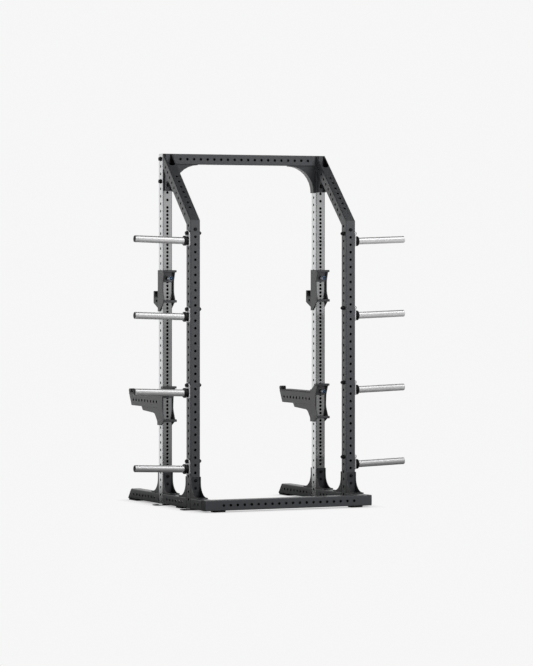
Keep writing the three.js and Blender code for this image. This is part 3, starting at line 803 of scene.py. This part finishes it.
def peg(label, sign, index):
    tag = f"{label}_{index}"
    tip_low, tip_high = box_mm(f"peg_sleeve_{tag}")
    place = side_frame(sign, REAR_Y, box_mm(f"peg_bracket_{tag}")[0].z + PEG_PLATE_DOWN)
    face = HALF + GAP
    bm = bmesh.new()
    outline = rounded([
        (-PEG_PLATE_HALF_WIDTH, -PEG_PLATE_DOWN, 6),
        (PEG_PLATE_HALF_WIDTH, -PEG_PLATE_DOWN, 6),
        (PEG_PLATE_HALF_WIDTH, PEG_PLATE_UP, PEG_PLATE_HALF_WIDTH - 1),
        (-PEG_PLATE_HALF_WIDTH, PEG_PLATE_UP, PEG_PLATE_HALF_WIDTH - 1),
    ])
    plate(bm, place @ SIDE, outline, face, face + PEG_PLATE, [(0, PEG_BOLT_UP, BOLT_HOLE)])
    finish_piece(f"peg_plate_{tag}", bm, SILVER, f"peg_bracket_{tag}")

    bm = bmesh.new()
    hub = face + PEG_PLATE + SEAT
    flange = face + PEG_HUB_REACH
    outer = flange + PEG_FLANGE_THICK
    profile = [
        (PEG_HUB_RADIUS + 5, hub),
        (PEG_HUB_RADIUS + 1, hub + 3.5),
        (PEG_HUB_RADIUS, hub + 6),
        (PEG_HUB_RADIUS, flange - 1),
        (PEG_FLANGE_RADIUS - 2, flange),
        (PEG_FLANGE_RADIUS, flange + 2),
        (PEG_FLANGE_RADIUS, outer - 2),
        (PEG_FLANGE_RADIUS - 2, outer),
    ]
    lathe(bm, place @ SIDE, profile)
    finish_piece(f"peg_hub_{tag}", bm, BLACK_STEEL)

    reach = abs(tip_high.x if sign > 0 else tip_low.x) - UPRIGHT_X - outer
    length = (reach - PEG_RADIUS * math.sin(PEG_TILT)) / math.cos(PEG_TILT)
    clear = PEG_RADIUS * math.sin(PEG_TILT) + GAP
    lean = place @ Matrix.Translation((outer, 0, 0)) @ Matrix.Rotation(-PEG_TILT, 4, "Y") @ SIDE
    bm = bmesh.new()
    profile = [
        (PEG_RADIUS - 2, clear),
        (PEG_RADIUS, clear + 1.5),
        (PEG_RADIUS, length - 1.5),
        (PEG_RADIUS - 0.8, length - 0.3),
        (PEG_RADIUS - 1.6, length - 0.3),
        (PEG_RADIUS - 1.8, length - 5.4),
    ]
    lathe(bm, lean, profile, 64)
    finish_piece(f"peg_tube_{tag}", bm, CHROME, f"peg_sleeve_{tag}")

    bm = bmesh.new()
    profile = [
        (PEG_RADIUS - 2, length - 5.3),
        (PEG_RADIUS - 2, length - 3),
        (PEG_RADIUS - 3, length - 2.2),
        (PEG_RADIUS - 12, length - 2.2),
        (PEG_RADIUS - 13, length - 3.6),
    ]
    lathe(bm, lean, profile, 64)
    finish_piece(f"peg_cap_{tag}", bm, BLACK_STEEL)


# ---- fasteners, as width across the flats, height and the washer's radius ----
OUTER_BOLT = (24, 11, 16)
FOOT_BOLT_SIZES = ((17, 9, 11), (13, 7, 8.5))
BRACE_BOLT = (18, 10, 12)
PEG_BOLT = (22, 11, 15)
PEG_NUT = (23, 14, 15.5)


def frame_bolts(label, sign):
    bm = bmesh.new()
    side = side_frame(sign)
    out = Vector((sign, 0, 0))
    for z in OUTER_BOLTS:
        bolt(bm, side @ Vector((HALF + SEAT, FRONT_Y, z)), out, OUTER_BOLT)
    for centre in (FRONT_Y, REAR_Y):
        for direction in (-1, 1):
            y = centre + direction * (HALF + GAP + SHEET + SEAT)
            for z, size in zip(FOOT_BOLTS, FOOT_BOLT_SIZES):
                bolt(bm, side @ Vector((0, y, z)), (0, direction, 0), size)
    bolt(bm, side @ Vector((0, REAR_FACE_REAR + SEAT, BRACE_BOLT_Z)), (0, 1, 0), BRACE_BOLT)
    y = FRONT_FACE_REAR + GAP + SHEET + SEAT
    bolt(bm, side @ Vector((0, y, SLANT_BOLT_Z)), (0, 1, 0), BRACE_BOLT)
    finish_piece(f"frame_bolts_{label}", bm, BLACK_STEEL)

    bm = bmesh.new()
    for index in range(1, PEG_COUNT + 1):
        z = box_mm(f"peg_bracket_{label}_{index}")[0].z + PEG_PLATE_DOWN + PEG_BOLT_UP
        bolt(bm, side @ Vector((HALF + GAP + PEG_PLATE + SEAT, REAR_Y, z)), out, PEG_BOLT)
        nut(bm, side @ Vector((-HALF - SEAT, REAR_Y, z)), -out, PEG_NUT)
    finish_piece(f"peg_bolts_{label}", bm, BLACK_STEEL)


# ---- feet ----
MIDDLE_FOOT_Y = FRONT_Y + 281
MIDDLE_FOOT_HALF = (30, 43)
FOOT_CORNER = 9
GROOVE = 1.2  # depth and half height of the groove round a foot


def foot(bm, low, high):
    """A rubber block with rounded corners and a groove round its sides."""
    middle_z = middle(low.z, high.z)
    outline = rectangle((low.x, high.x), (low.y, high.y), FOOT_CORNER)
    narrow = inset(outline, GROOVE)
    levels = (
        (inset(outline, 1.5), low.z),
        (outline, low.z + 1.5),
        (outline, middle_z - GROOVE),
        (narrow, middle_z - GROOVE / 2),
        (narrow, middle_z + GROOVE / 2),
        (outline, middle_z + GROOVE),
        (outline, high.z - 0.8),
        (inset(outline, 0.8), high.z),
    )
    loft(bm, [lifted(PLAN, points, z) for points, z in levels])


def feet(label, sign):
    for end in ("front", "rear"):
        node = f"{end}_foot_{label}"
        bm = bmesh.new()
        foot(bm, *box_mm(node))
        finish_piece(f"foot_{end}_{label}", bm, RUBBER, node)
    bm = bmesh.new()
    x = sign * UPRIGHT_X
    half_x, half_y = MIDDLE_FOOT_HALF
    low = Vector((x - half_x, MIDDLE_FOOT_Y - half_y, 0))
    foot(bm, low, Vector((x + half_x, MIDDLE_FOOT_Y + half_y, PAD - GAP)))
    finish_piece(f"foot_middle_{label}", bm, RUBBER)


# ---- carriages, each with y = 0 at the upright's centre and z = 0 at its pin ----
RUNNING = 1
BORE = HALF + RUNNING
OUTSIDE = BORE + SHEET
INNER_HALF = BORE - 0.1  # half width of the plates between the two sides
BAR_OVERHANG = 8
UPPER_REACH = 41  # how far the upper bar reaches behind the upright
LOWER_REACH = 45
BEND_RADIUS = 12  # outer radius where a J-cup carriage is folded
BUSH_END = 14
PIN_PLATE_LOW = -26
PAD_THICK = 0.8
PAD_MARGIN = 4
FLUTES = 24
FLUTE_DEPTH = 0.35


def carriage_rear(bm, place, upper, lower):
    """Two bars across the rear of a carriage, and the plate between them that the pin goes through."""
    for reach, (low, high) in ((UPPER_REACH, upper), (LOWER_REACH, lower)):
        bar = rectangle((-OUTSIDE - BAR_OVERHANG, OUTSIDE + BAR_OVERHANG), (BORE + 0.1, HALF + reach), 3)
        plate(bm, place @ PLAN, bar, low, high, chamfer=2.2)
    pin_plate = rectangle((-INNER_HALF, INNER_HALF), (PIN_PLATE_LOW, upper[0] - 0.1), 2)
    plate(bm, place @ FACE, pin_plate, BORE, OUTSIDE, [(0, 0, HOLE)])


def pin_guide(bm, place):
    """The bush that the pull pin runs in, with its hexagon flange."""
    rear = place @ Matrix.Translation((0, OUTSIDE, 0)) @ FACE
    hexagons(bm, rear, [(13.2, SEAT), (13.8, 0.6), (13.8, 3.8), (12.6, 4.6)])
    end = HALF + BUSH_END - OUTSIDE
    lathe(bm, rear, [(10.5, 4.65), (10.5, end - 0.8), (9.7, end)], 32)


def pull_pin(label, sign, name, z):
    """Heights along the pin count from the upright's rear face."""
    rear = side_frame(sign, FRONT_FACE_REAR, z) @ FACE
    body = f"{name}_pin_{label}"
    bm = bmesh.new()
    lathe(bm, rear, [(5.5, -10), (7.5, -7), (7.5, 15.2)], 32)
    barrel = [(9.5, 15), (11, 16), (11, 22), (13.5, 27), (14.6, 33), (14.6, 37), (13.8, 38), (13.8, 39.6)]
    lathe(bm, rear, barrel)
    finish_piece(f"{name}_knob_{label}", bm, KNOB_SILVER, body, body=body)

    bm = bmesh.new()
    rings = []
    for radius, height in ((14.6, 39.7), (15.7, 41), (15.7, 52), (12.6, 60), (10.4, 60), (10.4, 39.7)):
        depth = FLUTE_DEPTH if 40 < height < 53 else 0
        points = []
        for p in circle(1, 4 * FLUTES):
            points.append(p * (radius - depth * (1 + math.cos(FLUTES * math.atan2(p.y, p.x)))))
        rings.append(lifted(rear, points, height))
    loft(bm, rings, capped=False)
    finish_piece(f"{name}_knob_ring_{label}", bm, KNOB_SILVER, body=body)

    bm = bmesh.new()
    band = [(12.4, 60.1), (12.9, 60.8), (12.4, 63.2), (10.9, 63.6), (10.4, 62.6), (10.4, 60.1)]
    lathe(bm, rear, band, 64, capped=False)
    finish_piece(f"{name}_knob_band_{label}", bm, KNOB_BLUE, body=body)

    bm = bmesh.new()
    lathe(bm, rear, [(10.2, 39.8), (10.2, 60.6), (9.4, 61.4), (3, 61.8)])
    finish_piece(f"{name}_knob_centre_{label}", bm, PLASTIC, body=body)

    bm = bmesh.new()
    plate(bm, rear, rectangle((-7, 7), (-1.4, 1.4), 1.2), 61.0, 62.4, chamfer=0.3)
    finish_piece(f"{name}_knob_inlay_{label}", bm, KNOB_BLUE, body=body)


def wear_pads(bm, place, z):
    """Thin plastic liners between a carriage and the upright."""
    pad = rectangle((-HALF + PAD_MARGIN, HALF - PAD_MARGIN), z, 3)
    twin_plates(bm, place @ SIDE, pad, BORE - PAD_THICK, BORE - SEAT, chamfer=0.2)
    plate(bm, place @ FACE, pad, -BORE + SEAT, -BORE + PAD_THICK, chamfer=0.2)


JCUP_TOP = 55
JCUP_TIP = -222
JCUP_LOWER = (-162, -145)
JCUP_UPPER = (40, 55)
HOOK_HALF_WIDTH = 34
HOOK_OUTER = -117
HOOK_STEEL = 8
HOOK_LIP = -92
HOOK_SEAT = -132
HOOK_BOLTS = (-116, -152)
HOOK_BOLT_Y = -72
HOOK_FRONT_LOW = -170
HOOK_REAR_LOW = -204
LINER = 6
LINER_LOW = -168
LINER_TOP = -50


def jcup(label, sign):
    place = side_frame(sign, FRONT_Y, JCUP_Z)
    body = f"jcup_{label}"
    channel = bmesh.new()
    section = rounded([
        (-OUTSIDE, HALF + TUBE),
        (-OUTSIDE, -OUTSIDE, BEND_RADIUS),
        (OUTSIDE, -OUTSIDE, BEND_RADIUS),
        (OUTSIDE, HALF + TUBE),
        (BORE, HALF + TUBE),
        (BORE, -BORE, BEND_RADIUS - SHEET),
        (-BORE, -BORE, BEND_RADIUS - SHEET),
        (-BORE, HALF + TUBE),
    ])
    prism(channel, place @ PLAN, section, JCUP_TIP - 20, JCUP_TOP + 20)
    profile = rounded([
        (-OUTSIDE - 5, JCUP_TOP),
        (-OUTSIDE - 5, JCUP_TIP + 20),
        (-OUTSIDE + 4, JCUP_TIP, 6),
        (-8, JCUP_TIP, 4),
        (HALF + 26, JCUP_LOWER[0], 4),
        (HALF + 38, JCUP_LOWER[0], 3),
        (HALF + 38, JCUP_LOWER[1], 3),
        (HALF + 15, -96, 60),
        (HALF + 15, -18, 50),
        (HALF + 34, JCUP_UPPER[0], 5),
        (HALF + 34, JCUP_TOP, 3),
    ])
    side_shape = bmesh.new()
    prism(side_shape, place @ SIDE, profile, -OUTSIDE - 20, OUTSIDE + 20)
    bm = boolean(channel, side_shape, "INTERSECT")
    soften(bm, 0.8)
    carriage_rear(bm, place, JCUP_UPPER, JCUP_LOWER)
    finish_piece(f"jcup_body_{label}", bm, BLACK_PAINT, f"jcup_carriage_{label}", body=body)

    bm = bmesh.new()
    hook = rounded([
        (-OUTSIDE - SEAT, HOOK_SEAT),
        (HOOK_OUTER + HOOK_STEEL, HOOK_SEAT, 3),
        (HOOK_OUTER + HOOK_STEEL, HOOK_LIP, 1.5),
        (HOOK_OUTER, HOOK_LIP, 1.5),
        (HOOK_OUTER, HOOK_FRONT_LOW, 10),
        (-OUTSIDE - SEAT, HOOK_REAR_LOW, 3),
    ])
    plate(bm, place @ SIDE, hook, -HOOK_HALF_WIDTH, HOOK_HALF_WIDTH, chamfer=1.4)
    finish_piece(f"jcup_hook_{label}", bm, HOOK_STEEL_COAT, body=body)

    bm = bmesh.new()
    outer = HOOK_OUTER - GAP
    inner = HOOK_OUTER + HOOK_STEEL + GAP
    seat = HOOK_SEAT + GAP
    top = HOOK_LIP + GAP
    liner = rounded([
        (outer, LINER_LOW, 1.5),
        (outer, top),
        (inner, top),
        (inner, seat),
        (-OUTSIDE - GAP, seat),
        (-OUTSIDE - GAP, LINER_TOP, 1.5),
        (-OUTSIDE - GAP - LINER, LINER_TOP, 3),
        (-OUTSIDE - GAP - LINER, seat + LINER, 9),
        (inner + LINER, seat + LINER, 9),
        (inner + LINER, top + LINER, 4),
        (outer - LINER, top + LINER, 5),
        (outer - LINER, LINER_LOW, 3),
    ])
    plate(bm, place @ SIDE, liner, -HOOK_HALF_WIDTH, HOOK_HALF_WIDTH, chamfer=1.4)
    finish_piece(f"jcup_pad_{label}", bm, PLASTIC, f"jcup_liner_{label}", body=body)

    bm = bmesh.new()
    for z in HOOK_BOLTS:
        for x in (-1, 1):
            centre = place @ Vector((x * (HOOK_HALF_WIDTH + SEAT), HOOK_BOLT_Y, z))
            crown = [(8.5, 0), (8.5, 1.2), (7.6, 3.2), (5.4, 4.4), (4.4, 4.5), (4.0, 2.4)]
            lathe(bm, along(centre, (x * sign, 0, 0)), crown, 32)
    pin_guide(bm, place)
    finish_piece(f"jcup_fittings_{label}", bm, BLACK_STEEL, body=body)

    bm = bmesh.new()
    wear_pads(bm, place, (JCUP_TIP + 40, JCUP_TOP - 14))
    finish_piece(f"jcup_wear_pads_{label}", bm, PLASTIC, body=body)


SPOTTER_TOP = 53
SPOTTER_TIP = -209
SPOTTER_UPPER = (38, 53)
SPOTTER_LOWER = (-185, -168)
ARM_TOP = -12
ARM_BOTTOM = -94
ARM_FRONT = -530
ARM_FRONT_LOW = -486
ARM_ROW_Y = -55
ARM_ROW_Z = -55
ARM_HOLES = 9
ARM_SHEET = 4
DEEP_FRONT = -314
STOP_REAR = -498
STOP_INSIDE = 6  # the stop stands on the same side of both arms
STOP_FRONT = ARM_FRONT - 4
STOP_TOP = 19
STRIP = 8
RIB_Z = -93
RIB_REAR = -37
RIB_HALF = 1.6
RIB_OUT = 1.1


def spotter(label, sign):
    place = side_frame(sign, FRONT_Y, SPOTTER_Z)
    body = f"spotter_{label}"
    cheek = rounded([
        (HALF + 2, SPOTTER_TOP, 2),
        (-21, ARM_TOP + 25, 12),
        (-OUTSIDE, ARM_TOP + 22, 2),
        (-OUTSIDE, ARM_TOP),
        (ARM_FRONT, ARM_TOP),
        (ARM_FRONT_LOW, ARM_BOTTOM, 7),
        (DEEP_FRONT, ARM_BOTTOM, 6),
        (DEEP_FRONT + 24, -120, 7),
        (-88, -131, 60),
        (-OUTSIDE, -185, 22),
        (-OUTSIDE, SPOTTER_TIP, 2),
        (18, SPOTTER_TIP, 4),
        (HALF + 28, SPOTTER_LOWER[0], 4),
        (HALF + 36, SPOTTER_LOWER[0], 3),
        (HALF + 36, SPOTTER_LOWER[1], 3),
        (HALF + 2, -100, 70),
        (HALF + 8, -20, 50),
        (HALF + 34, SPOTTER_UPPER[0], 5),
        (HALF + 34, SPOTTER_TOP, 3),
    ])
    holes = [(ARM_ROW_Y - PITCH * k, ARM_ROW_Z, HOLE) for k in range(ARM_HOLES)]
    bm = bmesh.new()
    twin_plates(bm, place @ SIDE, cheek, BORE, OUTSIDE, holes)
    wall = rectangle((-INNER_HALF, INNER_HALF), (SPOTTER_TIP + 10, ARM_TOP + 20))
    plate(bm, place @ FACE, wall, -OUTSIDE, -BORE)
    deck = rectangle((-INNER_HALF, INNER_HALF), (ARM_FRONT + 3, -OUTSIDE - 0.1))
    plate(bm, place @ PLAN, deck, ARM_TOP - ARM_SHEET, ARM_TOP - 0.1)
    floor = rectangle((-INNER_HALF, INNER_HALF), (ARM_FRONT_LOW + 4, -OUTSIDE - 0.1))
    plate(bm, place @ PLAN, floor, ARM_BOTTOM, ARM_BOTTOM + ARM_SHEET)
    run = (ARM_FRONT_LOW - ARM_FRONT) / (ARM_BOTTOM - ARM_TOP)
    nose = []
    for z, back in ((ARM_TOP - 5, 2), (ARM_TOP - 5, 6), (ARM_BOTTOM + 5, 6), (ARM_BOTTOM + 5, 2)):
        nose.append(Vector((ARM_FRONT + back + run * (z - ARM_TOP), z)))
    plate(bm, place @ SIDE, nose, -INNER_HALF, INNER_HALF, chamfer=0.4)
    rib = rectangle((DEEP_FRONT + 24, RIB_REAR), (RIB_Z - RIB_HALF, RIB_Z + RIB_HALF), 1.4)
    twin_plates(bm, place @ SIDE, rib, OUTSIDE - 0.3, OUTSIDE + RIB_OUT, chamfer=0.6)
    carriage_rear(bm, place, SPOTTER_UPPER, SPOTTER_LOWER)
    finish_piece(f"spotter_body_{label}", bm, BLACK_PAINT, f"spotter_carriage_{label}", body=body)

    bm = bmesh.new()
    strip = rectangle((-OUTSIDE, OUTSIDE), (ARM_FRONT + 1, -OUTSIDE - GAP), 2)
    plate(bm, place @ PLAN, strip, ARM_TOP + GAP, ARM_TOP + GAP + STRIP, chamfer=1.5)
    finish_piece(f"spotter_strip_{label}", bm, PLASTIC, f"spotter_liner_{label}", body=body)

    bm = bmesh.new()
    base = ARM_TOP + STRIP + 2 * GAP
    stop = rounded([
        (STOP_FRONT, base, 1),
        (STOP_REAR, base, 1),
        (STOP_REAR, STOP_TOP, 8),
        (STOP_FRONT, STOP_TOP, 8),
    ])
    near, far = sorted((sign * STOP_INSIDE, sign * OUTSIDE))
    plate(bm, place @ SIDE, stop, near, far, chamfer=2.5)
    finish_piece(f"spotter_end_stop_{label}", bm, PLASTIC, f"spotter_stop_{label}", body=body)

    bm = bmesh.new()
    core_height = (ARM_BOTTOM + ARM_SHEET + 1, ARM_TOP - ARM_SHEET - 1)
    core = rectangle((ARM_FRONT_LOW + 10, -OUTSIDE - 8), core_height)
    plate(bm, place @ SIDE, core, -BORE + 1, BORE - 1)
    finish_piece(f"spotter_core_{label}", bm, PLASTIC, body=body)

    bm = bmesh.new()
    pin_guide(bm, place)
    finish_piece(f"spotter_fittings_{label}", bm, BLACK_STEEL, body=body)

    bm = bmesh.new()
    wear_pads(bm, place, (SPOTTER_TIP + 30, -2))
    finish_piece(f"spotter_wear_pads_{label}", bm, PLASTIC, body=body)


# ---- assembly ----
for label, sign in SIDES:
    front_upright(label, sign)
    rear_upright(label, sign)
    brace(label, sign)
    front_rail(label, sign)
    short_rail(label, sign, "middle", FRONT_Y + INNER_ROW, INNER_COUNT)
    short_rail(label, sign, "rear", REAR_Y + INNER_ROW, STUB_COUNT)
    slant_bracket(label, sign)
    for end, y in (("front", FRONT_Y), ("rear", REAR_Y)):
        for letter, direction in (("a", -1), ("b", 1)):
            foot_bracket(label, sign, f"{end}_{letter}", y + direction * HALF, direction)
    top_gusset(label, sign)
    for index in range(1, PEG_COUNT + 1):
        peg(label, sign, index)
    frame_bolts(label, sign)
    feet(label, sign)
    jcup(label, sign)
    spotter(label, sign)
    pull_pin(label, sign, "jcup", JCUP_Z)
    pull_pin(label, sign, "spotter", SPOTTER_Z)
cross_tube("top_crossbar", "crossbar_top", FRONT_Y, TOP - HALF)
cross_tube("rear_crossmember", "crossmember_rear", CROSS_Y, CENTRE_Z)
end_plugs()

# ---- stage, light and camera ----
FLOOR_RINGS = (0.4, 1.5, 3.0, 6.0)
FLOOR_GREY = 0.05
FLOOR_FADE = (1.2, 3.0)
SHADOW_REACH = 0.12
SHADOW_DEPTH = 0.55
BACKDROP = 0.925
BRIGHT_SIDE = (0.1, -0.99, 0.1)
GLOW_EDGE = (0.6, 0.9)  # how squarely a direction faces the bright side where the glow starts and is full
LIFT_EDGE = (-0.05, -0.4)  # the slopes below the horizon where the lift starts and is full
ROOM_DIM = 0.1
ROOM_BRIGHT = 1.25
ROOM_LIFT = 0.5  # more light from the floor beyond the dark disc
CAMERA_PLACE = (9.2366, 19.9226, 1.6536)
CAMERA_TURN = math.radians(154.8)
LENS = 175.7
SHIFT = -0.112


def make_floor():
    """The camera sees only a soft shadow near the rack's feet. The rack mirrors a dark disc."""
    bm = bmesh.new()
    rings = [new_ring(bm, lifted(PLAN, circle(radius, 96), 0)) for radius in FLOOR_RINGS]
    bm.faces.new(rings[0])
    for inner, outer in zip(rings, rings[1:]):
        join_rings(bm, outer, inner)
    floor = add_mesh("studio_floor", bm)
    material = bpy.data.materials.new("studio floor")
    material.use_nodes = True
    tree = material.node_tree
    place = add_node(tree, "TexCoord", {})
    distance = add_node(tree, "VectorMath", {0: place.outputs["Object"]})
    distance.operation = "LENGTH"
    near = add_node(tree, "AmbientOcclusion", {"Distance": SHADOW_REACH})
    path = add_node(tree, "LightPath", {})
    choice = add_node(tree, "Mix", {
        "Factor": path.outputs["Is Camera Ray"],
        "A": map_range(tree, distance.outputs["Value"], FLOOR_FADE, (1, 0), "SMOOTHSTEP"),
        "B": map_range(tree, near.outputs["AO"], (1, 0), (0, SHADOW_DEPTH)),
    })
    set_inputs(tree, tree.nodes["Principled BSDF"], {
        "Base Color": (FLOOR_GREY, FLOOR_GREY, FLOOR_GREY, 1),
        "Roughness": 0.9,
        "Specular IOR Level": 0.0,
        "Alpha": choice.outputs["Result"],
    })
    floor.data.materials.append(material)


def make_world():
    """The backdrop is even. The room that lights the rack is brightest beyond its front."""
    world = bpy.data.worlds.new("studio")
    bpy.context.scene.world = world
    world.use_nodes = True
    tree = world.node_tree
    backdrop = tree.nodes["Background"]
    backdrop.inputs["Color"].default_value = (BACKDROP, BACKDROP, BACKDROP, 1)
    direction = add_node(tree, "TexCoord", {}).outputs["Generated"]
    toward = add_node(tree, "VectorMath", {0: direction, 1: BRIGHT_SIDE})
    toward.operation = "DOT_PRODUCT"
    parts = add_node(tree, "SeparateXYZ", {"Vector": direction})
    total = add_node(tree, "Math", {
        0: map_range(tree, toward.outputs["Value"], GLOW_EDGE, (ROOM_DIM, ROOM_BRIGHT), "SMOOTHSTEP"),
        1: map_range(tree, parts.outputs["Z"], LIFT_EDGE, (0, ROOM_LIFT), "SMOOTHSTEP"),
    })
    room = add_node(tree, "Background", {"Strength": total.outputs["Value"]})
    path = add_node(tree, "LightPath", {})
    choice = add_node(tree, "MixShader", {
        "Fac": path.outputs["Is Camera Ray"],
        1: room.outputs["Background"],
        2: backdrop.outputs["Background"],
    })
    tree.links.new(choice.outputs["Shader"], tree.nodes["World Output"].inputs["Surface"])


def softbox(name, place, target, size, glow, mirrored=True, scattered=True):
    """A panel of light with glow as its brightness. It can be left out of reflections or of diffuse light."""
    light = bpy.data.lights.new(name, "AREA")
    light.shape = "RECTANGLE"
    light.size = size[0]
    light.size_y = size[1]
    light.energy = glow * math.pi * size[0] * size[1]
    lamp = add_object(name, light)
    lamp.location = place
    lamp.rotation_euler = (Vector(target) - Vector(place)).to_track_quat("-Z", "Y").to_euler()
    lamp.visible_camera = False
    lamp.visible_glossy = mirrored
    lamp.visible_diffuse = scattered


make_floor()
make_world()
softbox("rear panel", (-1.7, 3.6, 2.6), (-1.7, 0, 2.6), (3.6, 2.6), 0.5)
softbox("rear sky", (-1.0, 2.6, 4.6), (0, 0, 1.3), (5.0, 3.0), 2.0, scattered=False)
softbox("rear wash", (-1.0, 4.2, 1.2), (0, 0, 1.0), (3.0, 2.0), 3.9, mirrored=False)
softbox("rear low panel", (-2.0, 4.2, 0.55), (-2.0, 0, 0.55), (4.4, 1.0), 0.23, scattered=False)
softbox("side panel", (4.2, -1.8, 2.5), (0, 0, 1.9), (2.0, 2.4), 0.54)
softbox("side glint", (4.5, 1.0, 1.6), (0, 0, 1.2), (2.4, 3.0), 1.6, scattered=False)

camera = add_object("camera", bpy.data.cameras.new("camera"))
camera.location = CAMERA_PLACE
camera.rotation_euler = (math.radians(90), 0, CAMERA_TURN)
camera.data.lens = LENS
camera.data.shift_y = SHIFT
camera.data.clip_end = 200
bpy.context.scene.camera = camera
bpy.context.scene.view_settings.view_transform = "Standard"
